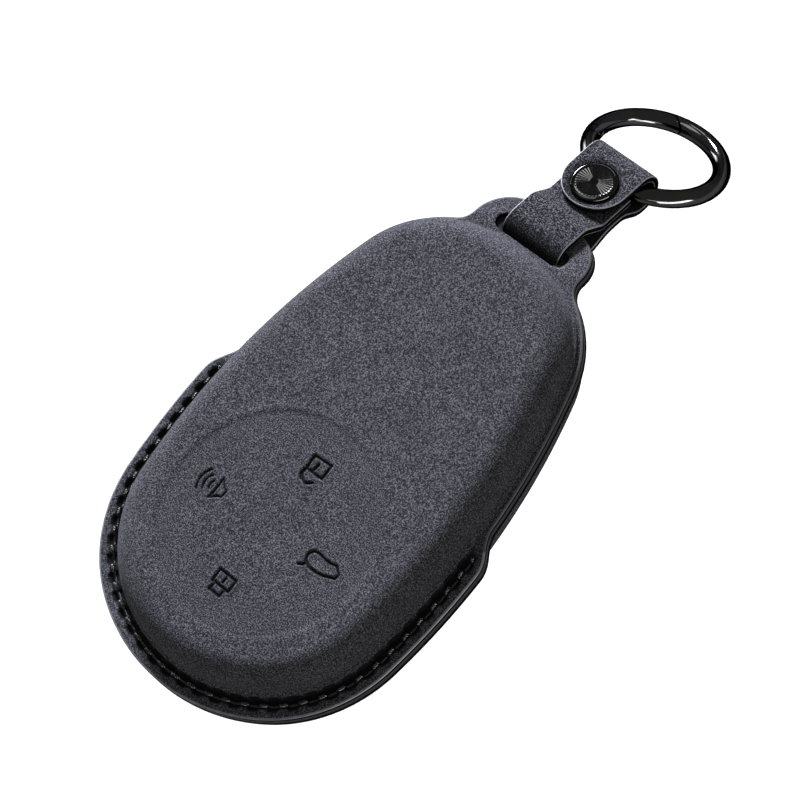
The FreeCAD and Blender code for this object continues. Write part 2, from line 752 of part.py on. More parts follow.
# The spring-gate ring, in its own frame: X across, Y away from the strap


RING_RADIUS = (size("ring_diameter") - size("ring_wire")) / 2
WIRE_RADIUS = size("ring_wire") / 2
FOLD = STRAP.multVec(Vector(0, FOLD_DISTANCE, -size("fold_drop")))
RING_TURN = FreeCAD.Rotation(X_AXIS, -size("ring_droop"))
RING = FreeCAD.Placement(
    FOLD + RING_TURN.multVec(Y_AXIS * (RING_RADIUS - size("ring_set"))), RING_TURN
)
PIN = polar(Vector(), RING_RADIUS, math.radians(size("hinge_angle")))
CATCH = polar(Vector(), RING_RADIUS, math.radians(size("catch_angle")))
GATE_RUN = (CATCH - PIN).normalize()
TANGENT = Vector(-PIN.y, PIN.x, 0).normalize()


def facing(block, direction):
    """Turn a block's X to a direction in the ring's plane."""
    block.rotate(Vector(), Z_AXIS, math.degrees(math.atan2(direction.y, direction.x)))
    block.translate(PIN)
    return block


def beyond_pin(direction, half_height):
    """Block on one side of the plane through the pin."""
    reach = size("ring_diameter")
    block = Part.makeBox(reach, 2 * reach, 2 * half_height, Vector(0, -reach, -half_height))
    return facing(block, direction)


def gate_zone(gap):
    """Room of the gate, from the pin's radial plane to its free end."""
    reach = size("ring_diameter")
    wire = size("ring_wire")
    length = (CATCH - PIN).Length + gap
    block = Part.makeBox(length + wire, reach / 2 + wire, wire, Vector(-wire, -wire, -WIRE_RADIUS))
    return facing(block, GATE_RUN).common(beyond_pin(TANGENT * -1, reach))


def pin_column(radius, half_length):
    return Part.makeCylinder(radius, 2 * half_length, PIN - Z_AXIS * half_length)


def tongue():
    """Flat tongue of the ring that carries the pin between the gate's cheeks."""
    half = size("tongue_thickness") / 2
    radius = size("tongue_radius")
    bar = Part.makeBox(size("ring_wire"), 2 * radius, 2 * half, Vector(0, -radius, -half))
    return facing(bar, TANGENT).fuse(pin_column(radius, half)).removeSplitter()


def make_ring_body(torus):
    room = gate_zone(size("gate_gap")).fuse(pin_column(WIRE_RADIUS + size("knuckle_gap"), WIRE_RADIUS))
    ring = solid_of(torus.cut(room)).fuse(tongue().common(torus)).removeSplitter()
    ring = ring.cut(pin_column(size("pin_diameter") / 2, WIRE_RADIUS))
    feature("ring_body", solid_of(ring), RING)


def make_ring_gate(torus):
    """Gate with two cheeks beside the tongue and a bore for its spring."""
    slit = size("tongue_thickness") / 2 + size("slit_clearance")
    slit_radius = size("tongue_radius") + 2 * size("slit_clearance")
    gate = torus.common(gate_zone(0)).fuse(torus.common(pin_column(WIRE_RADIUS, WIRE_RADIUS)))
    gate = gate.removeSplitter()
    for turn in (0, size("gate_travel")):
        swung = FreeCAD.Rotation(Z_AXIS, turn).multVec(TANGENT)
        gate = gate.cut(beyond_pin(swung, slit))
    gate = gate.cut(pin_column(slit_radius, slit))
    gate = gate.cut(pin_column(size("pin_diameter") / 2 + size("pin_clearance"), WIRE_RADIUS))
    bore = Part.makeCylinder(size("spring_bore") / 2, size("spring_depth"), PIN, bore_direction())
    feature("ring_gate", solid_of(gate.cut(bore)), RING)


def make_ring():
    torus = Part.makeTorus(RING_RADIUS, WIRE_RADIUS)
    make_ring_body(torus)
    make_ring_gate(torus)


def bore_direction():
    """From the pin along the gate, to the middle of the wire where the bore ends."""
    turn = -size("spring_depth") / RING_RADIUS
    end = polar(Vector(), RING_RADIUS, math.radians(size("hinge_angle")) + turn)
    return (end - PIN).normalize()


def along_bore(distance):
    """Placement on the bore's axis with Z along it."""
    direction = bore_direction()
    local = FreeCAD.Placement(PIN + direction * distance, FreeCAD.Rotation(Z_AXIS, direction))
    return RING.multiply(local)


def make_gate_fittings():
    pin = doc.addObject("Part::Cylinder", "gate_pin")
    pin.setExpression("Radius", "sizes.pin_diameter / 2")
    pin.setExpression("Height", "sizes.ring_wire - sizes.knuckle_gap")
    pin_low = PIN - Z_AXIS * (WIRE_RADIUS - size("knuckle_gap") / 2)
    pin.Placement = RING.multiply(FreeCAD.Placement(pin_low, FreeCAD.Rotation()))
    parts.append(pin)
    start = size("tongue_radius") + size("seat_gap")
    plunger = doc.addObject("Part::Cylinder", "gate_plunger")
    plunger.setExpression("Radius", "sizes.plunger_diameter / 2")
    plunger.setExpression("Height", "sizes.plunger_length")
    plunger.Placement = along_bore(start)
    parts.append(plunger)
    seat = start + size("plunger_length") + size("seat_gap")
    length = size("spring_depth") - size("seat_gap") - seat
    wire = size("coil_wire")
    radius = (size("coil_diameter") - wire) / 2
    helix = Part.makeHelix((length - wire) / size("coil_turns"), length - wire, radius)
    section = Part.Wire(Part.makeCircle(wire / 2, Vector(radius, 0, 0), Y_AXIS))
    coil = Part.Wire(helix.Edges).makePipeShell([section], True, True)
    coil.translate(Z_AXIS * (wire / 2))
    feature("gate_spring", solid_of(coil), along_bore(seat))


make_cover()
make_seam()
make_strap_loop()
make_strap_flap()
make_snap()
make_ring()
make_gate_fittings()
doc.recompute()

for item in doc.Objects:
    if "Invalid" in item.State or "Error" in item.State:
        raise RuntimeError(f"{item.Label} failed: {item.State}")
for part in parts:
    if part.Shape.isNull() or not part.Shape.isValid():
        raise RuntimeError(f"{part.Label} has no valid shape")

os.makedirs("parts", exist_ok=True)
for part in parts:
    part.Shape.exportStep(f"parts/{part.Label}.step")
    box = part.Shape.BoundBox
    spans = [f"{low:.2f}..{high:.2f}" for low, high in zip(
        (box.XMin, box.YMin, box.ZMin), (box.XMax, box.YMax, box.ZMax)
    )]
    print(f"{part.Label}: {len(part.Shape.Solids)} solids, {part.Shape.Volume:.2f} mm3,", *spans)

joint_points = {
    "pivot": PIVOT,
    "flap hinge": STRAP.multVec(Vector(0, FOLD_DISTANCE, FLAP_TOP)),
    "fold": FOLD,
    "gate pin": RING.multVec(PIN),
    "ring centre": RING.Base,
}
for name, point in joint_points.items():
    print(f"{name}: {point.x:.4f}, {point.y:.4f}, {point.z:.4f}")
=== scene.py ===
"""Moulded suede cover for a key fob, sewn round its rim, with a snap strap and a spring-gate ring."""

import math
from collections import namedtuple

import bmesh
import bpy
import numpy as np
from mathutils import Matrix, Quaternion, Vector
from mathutils.geometry import delaunay_2d_cdt


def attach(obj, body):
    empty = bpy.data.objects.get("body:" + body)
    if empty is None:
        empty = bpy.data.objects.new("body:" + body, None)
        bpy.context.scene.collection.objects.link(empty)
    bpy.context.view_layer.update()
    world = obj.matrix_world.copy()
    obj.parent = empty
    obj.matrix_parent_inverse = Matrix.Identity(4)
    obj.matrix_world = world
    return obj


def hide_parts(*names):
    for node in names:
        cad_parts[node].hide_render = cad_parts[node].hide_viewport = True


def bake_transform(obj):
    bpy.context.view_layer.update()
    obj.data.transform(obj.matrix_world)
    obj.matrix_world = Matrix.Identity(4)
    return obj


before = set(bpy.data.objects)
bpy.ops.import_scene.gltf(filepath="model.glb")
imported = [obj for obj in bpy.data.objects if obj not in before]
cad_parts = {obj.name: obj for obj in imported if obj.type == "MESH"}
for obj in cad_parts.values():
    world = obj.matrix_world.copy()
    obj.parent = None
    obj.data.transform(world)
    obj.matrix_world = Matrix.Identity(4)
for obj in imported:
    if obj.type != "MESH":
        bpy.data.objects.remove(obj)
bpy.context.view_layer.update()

# Lengths are in millimetres until a mesh is made.
MM = 0.001
WELD = 0.0002
FILL_TOLERANCE = 1e-7
QUARTER = math.pi / 2
FULL_TURN = 2 * math.pi

# Plan of the pocket: arcs as middle and radius, which run into one another and are mirrored in X
PARTING = 10.2
BOTTOM = (0.0, -13.9, 28.0)
SIDE = (-93.9, -6.6, 120.0)
TOP = (0.0, 11.9, 30.0)
CORNER_BEARING = math.radians(-56.6)
SHOULDER_BEARING = math.radians(72.5)
ROUND_COUNT = 840
FINE_STEP = 0.05

# The two moulded halves and their layers
FRONT_HEIGHT = 7.3
FRONT_EDGE = 4.2
REAR_HEIGHT = 10.2
REAR_EDGE = 3.6
LEAN = math.radians(9)
SKIN = 0.8
CORE = 0.7
LINING = 0.55
LINING_INSET = SKIN + CORE
LINING_PLAY = 0.01
LINING_SETBACK = 0.06
CREASE = 0.5
FOOT_ROLL = 0.48
FOOT_ROLL_RISE = 0.72
FOOT_ROLL_WIDTH = 0.27
SKIN_STEPS = 16
PLAIN_STEPS = 6
FACE_RINGS = 12
INNER_RINGS = (0.35, 0.7)

# Rim with its flare and lip, and the edges of its layers
RIM_WIDTH = 3.5
LIP_WIDTH = 0.9
FLARE_START = -3.1
FLARE_END = 4.4
FLARE_PULL = 0.42
PALE_EDGE_END = 0.4
SKIN_ARRIS = 0.2
LINING_ARRIS = 0.1
LOWER_ARRIS = 0.4
BURNISHED = 0.12
BURNISHED_DROP = 0.04

# Tab with the strap's slot
TAB_HALF = 10.9
TAB_END = 49.4
TAB_CORNER = 6.4
TAB_BLEND = 3.4
TAB_BEND = 42.5
TAB_BEND_SOFT = 0.3
TAB_BEND_REACH = 1.5
TAB_LEVELS = 1.6
TAB_DROOP = math.radians(19)
TAB_GRID_X = np.arange(-13.3, 13.4, 0.7)
TAB_GRID_Y = np.arange(41.6, 49.3, 0.35)
TAB_GRID_GAP = 0.22
SLOT_LOW = 42.32
SLOT_HIGH = 45.55
SLOT_HALF = 7.2
LINING_SLOT_HALF = 6.0
SLOT_STEP = 0.2

# Round button field with its pressed signs
FIELD = np.array((0.0, -16.5))
FIELD_RADIUS = 18.4
FIELD_PATCH = 19.6
FIELD_DEPTH = 0.13
FIELD_STEP_OUT = 0.3
FIELD_STEP_WIDTH = 0.7
FIELD_DISH = 0.05
FIELD_DISH_REACH = 12.0
RIDGE_HEIGHT = 0.05
RIDGE_OUT = 0.7
RIDGE_WIDTH = 0.4
SIGNS_RADIUS = 17.0
BOLD_LINE = 0.22
FINE_LINE = 0.14
LINE_DEPTH = 0.26
LINE_SLOPE_OUT = 0.08
LINE_SLOPE = 0.15
LINE_LIP = 0.06
LINE_LIP_OUT = 0.5
LINE_LIP_WIDTH = 0.14
LINE_UNEVEN = 0.04
UNEVEN_WAVES = ((2.3, 1.1), (-1.4, 2.9))
DENSE_HALF = 16.0
DENSE_STEP = 0.12
DENSE_REACH = 0.8
SPARSE_HALF = 17.0
SPARSE_RADIUS = 16.6
SPARSE_STEP = 0.8
SPARSE_GAP = 1.1
EDGE_COUNT = 420
EDGE_RINGS = np.arange(17.2, FIELD_PATCH - 0.1, 0.2)

# Seam: the thread, the groove that it pulls into the suede, and the shade painted into that groove and at the
# wall's foot above it
SEAM_INSET = 1.25
SEAM_END = -1.2
STITCHES = 37
SEAM_STEPS = 20
SEAM_ROWS = (-0.7, -0.5, -0.3, -0.1, 0.1, 0.3, 0.5, 0.7, 0.9, 1.15, 1.5)
THREAD_STEPS = 36
THREAD_TOP = 1.34
THREAD_DIVE = 0.8
THREAD_DIVE_START = 0.1
THREAD_DIVE_RAMP = 0.15
THREAD_TWIST = 3.2
STRANDS = 3
STRAND_RADIUS = 0.17
STRAND_SIDES = 8
GROOVE_DEPTH = 0.24
GROOVE_INSIDE = 1.05
GROOVE_OUTSIDE = 0.6
GROOVE_END = 1.6
GROOVE_FADE = 0.4
GROOVE_SHADE_DEPTH = 0.2
PIT_DEPTH = 0.4
PIT_SPREAD = 0.26
PIT_START = 0.13
PIT_RAMP = 0.2
SEWN_REACH = 2.3
SEWN_FADE = 0.5
SCALLOP_LOW = 0.12
SCALLOP_RISE = 0.22
SCALLOP_FADE = 0.18
LIP_SHADE = 0.12
LIP_SHADE_RISE = 0.5
LIP_SHADE_FADE = 0.4

# Strap, in its own frame: its middle line as distance along it, height across it and rounding
PIVOT = (43.35, 10.2)
DROOP = math.radians(16.5)
STRAP_HALF = 5.75
STRAP_THICKNESS = 1.1
STRAP_SOFT = 0.17
STRAP_STEP = 0.3
STRAP_COLUMNS = 25
STRAP_LINE = (
    (16.75, -0.8, 0.0),
    (10.2, -0.8, 2.1),
    (6.4, 1.75, 2.1),
    (0.0, 1.75, 2.5),
    (0.0, -4.4, 3.63),
    (6.6, -4.4, 8.0),
    (11.3, -2.9, 8.0),
    (14.9, -2.9, 3.5),
    (18.3, -5.25, 3.5),
    (22.725, -5.25, 3.115),
    (22.725, 1.0, 3.115),
    (19.6, 1.0, 0.0),
)
# Painted shade on the strap where it runs into the slot, fading out over this reach
SLOT_SHADE = 0.7
SLOT_SHADE_REACH = 3.4

# Snap end of the strap, pressed in round the cap, with a ring of painted shade round the cap
FLAP_START = 19.6
FLAP_ROUND = 15.45
FLAP_LOW = 0.45
FLAP_HIGH = 1.55
FLAP_GRID_X = np.arange(-5.4, 5.41, 0.45)
FLAP_GRID_Y = np.arange(9.6, 19.5, 0.45)
FLAP_GRID_GAP = 0.3
SNAP = 14.7
DENT_DEPTH = 0.42
DENT_RADIUS = 3.75
DENT_FADE = 1.1
MARK_SHADE = 0.9
MARK_RADIUS = 3.8
MARK_WIDTH = 0.55

# Snap cap: its rim as radius and height from below to the crown, and the crown's flutes
CAP_SUNK = 0.25
CAP_RIM = (
    (3.45, -0.05),
    (3.72, 0.02),
    (3.83, 0.14),
    (3.85, 0.26),
    (3.82, 0.38),
    (3.73, 0.51),
    (3.58, 0.61),
    (3.42, 0.655),
    (3.28, 0.648),
    (3.18, 0.638),
    (3.1, 0.632),
)
CAP_CROWN = 0.63
FLUTES = 36
FLUTE_STEPS = 16
FLUTE_RINGS = np.linspace(3.05, 0.35, 24)
FLUTE_SLOPE = 0.0064
FLUTE_OUTER = 3.1
FLUTE_OUTER_FADE = 0.12
FLUTE_INNER = 0.5
FLUTE_INNER_FADE = 0.4


def smooth(value):
    """A soft step: 0 up to 0, 1 from 1 on."""
    value = np.clip(value, 0, 1)
    return value * value * (3 - 2 * value)


def bell(value, middle, width):
    """A soft bump of height 1 round the middle."""
    return np.exp(-(((value - middle) / width) ** 2))


def unit(rows):
    """Rows scaled to length 1."""
    return rows / np.linalg.norm(rows, axis=1)[:, None]


def circle_points(count):
    """Points round a circle of radius 1."""
    angle = np.linspace(0, FULL_TURN, count, endpoint=False)
    return np.stack((np.cos(angle), np.sin(angle)), 1)


def plan_grid(x_line, y_line):
    """Points of a grid, row by row."""
    return np.stack(np.meshgrid(x_line, y_line), 2).reshape(-1, 2)


def clear_of(points, lines, gap):
    """Which points keep a gap to the points of some lines."""
    return np.linalg.norm(points[:, None] - lines[None], axis=2).min(1) > gap


def at_height(points, height):
    """Plan points with a height, or with a height each."""
    return np.concatenate((points, np.broadcast_to(height, len(points))[:, None]), 1)


def tangent_arc(hub, bearing):
    """The arc that joins a middle arc to the side arc, tangent to both."""
    hub_point = np.array(hub[:2])
    ray = np.array((math.cos(bearing), math.sin(bearing)))
    line = hub_point - np.array(SIDE[:2])
    spare = SIDE[2] - hub[2]
    shift = (spare**2 - line @ line) / (2 * (line @ ray - spare))
    centre = hub_point + ray * shift
    return (centre[0], centre[1], hub[2] - shift)


CORNER = tangent_arc(BOTTOM, CORNER_BEARING)
SHOULDER = tangent_arc(TOP, SHOULDER_BEARING)
SIDE_START = math.atan2(CORNER[1] - SIDE[1], CORNER[0] - SIDE[0])
SIDE_FINISH = math.atan2(SHOULDER[1] - SIDE[1], SHOULDER[0] - SIDE[0])


def side_angle(offset, y):
    """Bearing on the side arc where it reaches y."""
    return math.asin((y - SIDE[1]) / (SIDE[2] + offset))


def arc_points(arc, offset, start, end, step=0.3):
    """Points along an arc, both ends included."""
    radius = arc[2] + offset
    count = max(2, math.ceil(abs(end - start) * abs(radius) / step))
    angle = np.linspace(start, end, count + 1)
    return np.stack((arc[0] + radius * np.cos(angle), arc[1] + radius * np.sin(angle)), 1)


def joined(runs):
    """Runs of points as one, without the doubled ends."""
    points = [runs[0]]
    for run in runs[1:]:
        points.append(run[1:])
    return np.concatenate(points)


def with_mirror(half):
    """A half outline, from the lower middle up the right side to the upper middle, closed by its mirror."""
    left = half[1:-1][::-1] * (-1, 1)
    return np.concatenate((half, left))


def resample(points, count, closed):
    """Evenly spaced points along a line."""
    line = np.concatenate((points, points[:1])) if closed else points
    length = np.concatenate(((0,), np.cumsum(np.linalg.norm(np.diff(line, axis=0), axis=1))))
    at = np.linspace(0, length[-1], count, endpoint=not closed)
    return np.stack((np.interp(at, length, line[:, 0]), np.interp(at, length, line[:, 1])), 1)


def outward(points):
    """Outward normals of a closed anticlockwise outline."""
    along = np.roll(points, -1, 0) - np.roll(points, 1, 0)
    return unit(np.stack((along[:, 1], -along[:, 0]), 1))


def outward_of_line(line):
    """Normals of the open seam line, away from the pocket."""
    along = np.gradient(line, axis=0)
    return unit(np.stack((-along[:, 1], along[:, 0]), 1))


def pocket_half():
    """Right half of the pocket's outline."""
    return joined(
        (
            arc_points(BOTTOM, 0, -QUARTER, CORNER_BEARING, FINE_STEP),
            arc_points(CORNER, 0, CORNER_BEARING, SIDE_START, FINE_STEP),
            arc_points(SIDE, 0, SIDE_START, SIDE_FINISH, FINE_STEP),
            arc_points(SHOULDER, 0, SIDE_FINISH, SHOULDER_BEARING, FINE_STEP),
            arc_points(TOP, 0, SHOULDER_BEARING, QUARTER, FINE_STEP),
        )
    )


POCKET = resample(with_mirror(pocket_half()), ROUND_COUNT, True)
POCKET_NORMAL = outward(POCKET)


def pocket_ring(offset, height):
    """The pocket's outline, offset and at a height."""
    return at_height(POCKET + POCKET_NORMAL * offset, height)


def flare_curve(start, start_angle, end, end_angle):
    """S curve between two places on the side, tangent to arcs at their angles."""
    reach = np.linalg.norm(end - start) * FLARE_PULL
    first = start + reach * np.array((-math.sin(start_angle), math.cos(start_angle)))
    second = end - reach * np.array((-math.sin(end_angle), math.cos(end_angle)))
    t = np.linspace(0, 1, 25)[:, None]
    s = 1 - t
    return s**3 * start + 3 * t * s**2 * first + 3 * t**2 * s * second + t**3 * end


def rim_outline():
    """Outline of the rim with its flare, lip and tab."""
    flare_low = side_angle(RIM_WIDTH, FLARE_START)
    flare_high = side_angle(LIP_WIDTH, FLARE_END)
    low = arc_points(SIDE, RIM_WIDTH, SIDE_START, flare_low)
    high = arc_points(SIDE, LIP_WIDTH, flare_high, SIDE_FINISH)
    blend_x = TAB_HALF + TAB_BLEND
    span = SHOULDER[2] + LIP_WIDTH + TAB_BLEND
    blend_y = SHOULDER[1] + math.sqrt(span**2 - (blend_x - SHOULDER[0]) ** 2)
    leave = math.atan2(blend_y - SHOULDER[1], blend_x - SHOULDER[0])
    blend = (blend_x, blend_y, TAB_BLEND)
    corner = (TAB_HALF - TAB_CORNER, TAB_END - TAB_CORNER, TAB_CORNER)
    half = joined(
        (
            arc_points(BOTTOM, RIM_WIDTH, -QUARTER, CORNER_BEARING),
            arc_points(CORNER, RIM_WIDTH, CORNER_BEARING, SIDE_START),
            low,
            flare_curve(low[-1], flare_low, high[0], flare_high),
            high,
            arc_points(SHOULDER, LIP_WIDTH, SIDE_FINISH, leave),
            arc_points(blend, 0, leave + math.pi, math.pi),
            np.linspace((TAB_HALF, blend_y), (TAB_HALF, corner[1]), 6),
            arc_points(corner, 0, 0, QUARTER),
            np.linspace((corner[0], TAB_END), (0, TAB_END), 24),
        )
    )
    return with_mirror(half)


RIM = rim_outline()
RIM_NORMAL = outward(RIM)


def slot_outline(half):
    """Round-ended strap slot, clockwise."""
    radius = (SLOT_HIGH - SLOT_LOW) / 2
    middle = (SLOT_HIGH + SLOT_LOW) / 2
    reach = half - radius
    right = arc_points((reach, middle, radius), 0, QUARTER, -QUARTER, SLOT_STEP)
    left = arc_points((-reach, middle, radius), 0, -QUARTER, -3 * QUARTER, SLOT_STEP)
    lower = np.linspace((reach, SLOT_LOW), (-reach, SLOT_LOW), 40)
    upper = np.linspace((-reach, SLOT_HIGH), (reach, SLOT_HIGH), 40)
    return joined((right, lower, left, upper))[:-1]


def seam_line():
    """Seam from the right end round the bottom to the left end."""
    half = joined(
        (
            arc_points(BOTTOM, SEAM_INSET, -QUARTER, CORNER_BEARING, FINE_STEP),
            arc_points(CORNER, SEAM_INSET, CORNER_BEARING, SIDE_START, FINE_STEP),
            arc_points(SIDE, SEAM_INSET, SIDE_START, side_angle(SEAM_INSET, SEAM_END), FINE_STEP),
        )
    )
    return np.concatenate((half[::-1], half[1:] * (-1, 1)))


SEAM = resample(seam_line(), SEAM_STEPS * STITCHES + 1, False)
SEAM_OUT = outward_of_line(SEAM)


def dive_share(stitch, start, ramp):
    """0 where the thread shows to 1 where it dives, at a place along the seam counted in stitches."""
    return smooth((np.abs(stitch - np.round(stitch)) - start) / ramp)


def seam_place(points):
    """Each point's distance to the seam, its side of it, and how far the thread dives there."""
    gap = np.zeros(len(points))
    side = np.zeros(len(points))
    dive = np.zeros(len(points))
    batch = 3000
    for start in range(0, len(points), batch):
        part = slice(start, start + batch)
        away = points[part, None] - SEAM[None]
        distance = np.linalg.norm(away, axis=2)
        nearest = distance.argmin(1)
        row = np.arange(len(nearest))
        gap[part] = distance[row, nearest]
        side[part] = (away[row, nearest] * SEAM_OUT[nearest]).sum(1)
        dive[part] = dive_share(nearest / SEAM_STEPS, PIT_START, PIT_RAMP)
    return gap, side, dive


def pits(points):
    """How deep the thread pulls the rim in: a groove along the seam, deeper where the thread dives."""
    gap, side, dive = seam_place(points)
    width = np.where(side < 0, GROOVE_INSIDE, GROOVE_OUTSIDE + PIT_SPREAD * dive)
    groove = np.exp(-((side / width) ** 6)) * smooth((GROOVE_END - gap) / GROOVE_FADE)
    return groove * (GROOVE_DEPTH + PIT_DEPTH * dive)


def painted_foot_shade(points, rise):
    """Painted shade at the moulded wall's foot: dark scallops above the stitches, a faint dark line above the
    plain lip.
    """
    gap, _, dive = seam_place(points)
    sewn = smooth((SEWN_REACH - gap) / SEWN_FADE)
    scallop = smooth((SCALLOP_LOW + SCALLOP_RISE * dive - rise) / SCALLOP_FADE)
    line = LIP_SHADE * smooth((LIP_SHADE_RISE - rise) / LIP_SHADE_FADE)
    return sewn * scallop + (1 - sewn) * line


def inside(points, outline):
    """Which points lie inside an outline."""
    result = np.zeros(len(points), bool)
    for a, b in zip(outline, np.roll(outline, -1, 0)):
        crosses = (a[1] > points[:, 1]) != (b[1] > points[:, 1])
        if crosses.any():
            at = a[0] + (points[:, 1] - a[1]) * (b[0] - a[0]) / (b[1] - a[1])
            result ^= crosses & (points[:, 0] < at)
    return result


def flat_fill(outer, holes, extra):
    """Fills an outline, apart from its holes, through extra points. Returns the points and the triangles."""
    loops = [outer, *holes]
    edges = []
    first = 0
    for loop in loops:
        count = len(loop)
        edges += [(first + i, first + (i + 1) % count) for i in range(count)]
        first += count
    points = np.concatenate((*loops, extra))
    filled = delaunay_2d_cdt([Vector(point) for point in points.tolist()], edges, [], 0, FILL_TOLERANCE)
    _, _, faces, origins, _, _ = filled
    source = [origin[0] for origin in origins]
    triangles = np.array([[source[i] for i in face] for face in faces])
    middle = points[triangles].mean(1)
    kept = inside(middle, outer)
    for hole in holes:
        kept &= ~inside(middle, hole)
    return points, triangles[kept]


class Pile:
    """Collects points and faces of one mesh, with a value per point for compressed suede and painted shade,
    and a material place per face.
    """

    def __init__(self):
        self.points = []
        self.press_and_shade = []
        self.faces = []
        self.places = []
        self.count = 0

    def add(self, points, press_and_shade=0.0):
        """Adds points. Returns the number of the first."""
        first = self.count
        self.points.append(points)
        self.press_and_shade.append(np.broadcast_to(press_and_shade, len(points)))
        self.count += len(points)
        return first

    def face(self, faces, place=0):
        """Faces of one material place, or with a list of places."""
        self.faces += faces
        self.places += place if isinstance(place, list) else [place] * len(faces)

    def patch(self, points, triangles, place=0, press_and_shade=0.0):
        """A filled patch."""
        first = self.add(points, press_and_shade)
        self.face((triangles + first).tolist(), place)

    def rings(self, rings, place=0, ring_press_and_shade=None):
        """Closed rings joined in order by quads. Returns where the first and the last start."""
        ring_press_and_shade = ring_press_and_shade or [0.0] * len(rings)
        starts = [self.add(ring, press_and_shade) for ring, press_and_shade in zip(rings, ring_press_and_shade)]
        i = np.arange(len(rings[0]))
        j = np.roll(i, -1)
        for first, second in zip(starts, starts[1:]):
            self.face(np.stack((first + i, first + j, second + j, second + i), 1).tolist(), place)
        return starts[0], starts[-1]

    def cap(self, ring_start, count, centre, place=0):
        """A fan that closes a ring."""
        middle = self.add(np.array([centre]))
        i = np.arange(count)
        fan = np.stack((ring_start + i, ring_start + (i + 1) % count, np.full(count, middle)), 1)
        self.face(fan.tolist(), place)

    def make(self, name, materials, flip=False, transform=None):
        """The welded mesh as an object of the scene. A mirrored piece has its faces flipped."""
        points = np.concatenate(self.points)
        if transform:
            points = transform(points)
        faces = [face[::-1] for face in self.faces] if flip else self.faces
        mesh = bpy.data.meshes.new(name)
        mesh.from_pydata((points * MM).tolist(), [], faces)
        for material in materials:
            mesh.materials.append(material)
        mesh.polygons.foreach_set("material_index", self.places)
        # How dark the suede is at each point: compressed in the sign lines, painted shade elsewhere
        press_and_shade = mesh.attributes.new("press_and_shade", "FLOAT", "POINT")
        press_and_shade.data.foreach_set("value", np.concatenate(self.press_and_shade).astype(np.float32))
        welded = bmesh.new()
        welded.from_mesh(mesh)
        bmesh.ops.remove_doubles(welded, verts=welded.verts, dist=WELD * MM)
        bmesh.ops.recalc_face_normals(welded, faces=welded.faces)
        welded.to_mesh(mesh)
        welded.free()
        mesh.polygons.foreach_set("use_smooth", [True] * len(mesh.polygons))
        piece = bpy.data.objects.new(name, mesh)
        bpy.context.scene.collection.objects.link(piece)
        return piece


def arc_profile(middle_x, middle_y, radius, angles):
    """Places along an arc, as a list."""
    return [(middle_x + radius * math.cos(a), middle_y + radius * math.sin(a)) for a in angles]


def dome_profile(height, radius, inset, start, crease):
    """Offset and height of the moulded wall, from the rim to the flat top."""

    def wall(z):
        roll = FOOT_ROLL * bell(z, start + FOOT_ROLL_RISE, FOOT_ROLL_WIDTH) if crease else 0.0
        return roll - inset - z * math.tan(LEAN)

    low = [(wall(start), start)]
    if crease:
        crease_z = start + crease
        touch = crease_z - crease * math.sin(LEAN)
        centre = wall(touch) + crease * math.cos(LEAN)
        low = arc_profile(centre, crease_z, crease, np.linspace(-QUARTER, LEAN - math.pi, 6))
    bend_z = height - radius
    touch = bend_z + radius * math.sin(LEAN)
    centre = wall(touch) - radius * math.cos(LEAN)
    steps = SKIN_STEPS if crease else PLAIN_STEPS
    rise = [(wall(z), z) for z in np.linspace(low[-1][1], touch, steps)[1:-1]]
    return low + rise + arc_profile(centre, bend_z, radius, np.linspace(LEAN, QUARTER, steps + 1))


def open_lock():
    """Lines of the open padlock."""
    body = [(-1.5, -3.9), (1.85, -3.75), (2.0, -6.2), (-1.2, -6.25), (-1.5, -3.9)]
    hole = [(0.0, -4.7), (0.0, -5.75)]
    bow = [(-1.2, -6.25), (-1.3, -7.2), (-0.7, -7.9), (0.2, -8.3), (1.25, -7.5)]
    bow_press = [(-1.4, -6.5), (-1.5, -7.25), (-0.85, -8.05)]
    return [body, hole, bow, bow_press]


def shut_lock():
    """Lines of the shut padlock."""
    body = [(-1.3, -26.45), (2.1, -26.45), (2.15, -28.5), (-1.2, -28.5), (-1.3, -26.45)]
    hole = [(0.45, -27.05), (0.45, -27.8)]
    bow = [(-0.5, -28.5), (-0.7, -29.85), (1.5, -29.85), (1.45, -28.5)]
    return [body, hole, bow]


def open_boot():
    """Lines of the car with its raised boot lid."""
    car = [(9.72, -17.95), (8.7, -17.3), (8.4, -16.35), (8.85, -15.6), (9.8, -15.35), (11.0, -15.55)]
    car += [(12.3, -15.55), (13.4, -15.2), (13.95, -15.65), (14.6, -16.1), (14.5, -16.9)]
    car += [(12.9, -17.65), (11.3, -17.95), (9.72, -17.95)]
    lid = [(8.15, -18.55), (8.8, -18.2), (9.0, -17.5)]
    return [car, lid]


def horn():
    """Lines of the horn with its waves."""
    speaker = [(-10.95, -15.3), (-9.8, -16.4), (-9.2, -16.55), (-9.2, -17.75), (-9.8, -18.0)]
    speaker += [(-11.0, -19.1), (-10.75, -17.9), (-10.85, -16.6), (-10.95, -15.3)]
    lines = [speaker]
    sweep = np.linspace(math.pi + 0.62, math.pi - 0.62, 9)
    for radius in (1.25, 2.3, 3.3):
        lines.append(arc_profile(-10.85, -17.2, radius, sweep))
    return lines


BOLD_SIGNS = open_lock() + shut_lock() + open_boot()
FINE_SIGNS = horn()


def line_gap(points, lines):
    """Distance from each point to the nearest line."""
    gap = np.full(len(points), np.inf)
    for line in lines:
        for start, end in zip(np.array(line), np.array(line[1:])):
            run = end - start
            share = np.clip((points - start) @ run / (run @ run), 0, 1)
            gap = np.minimum(gap, np.linalg.norm(points - start - share[:, None] * run, axis=1))
    return gap


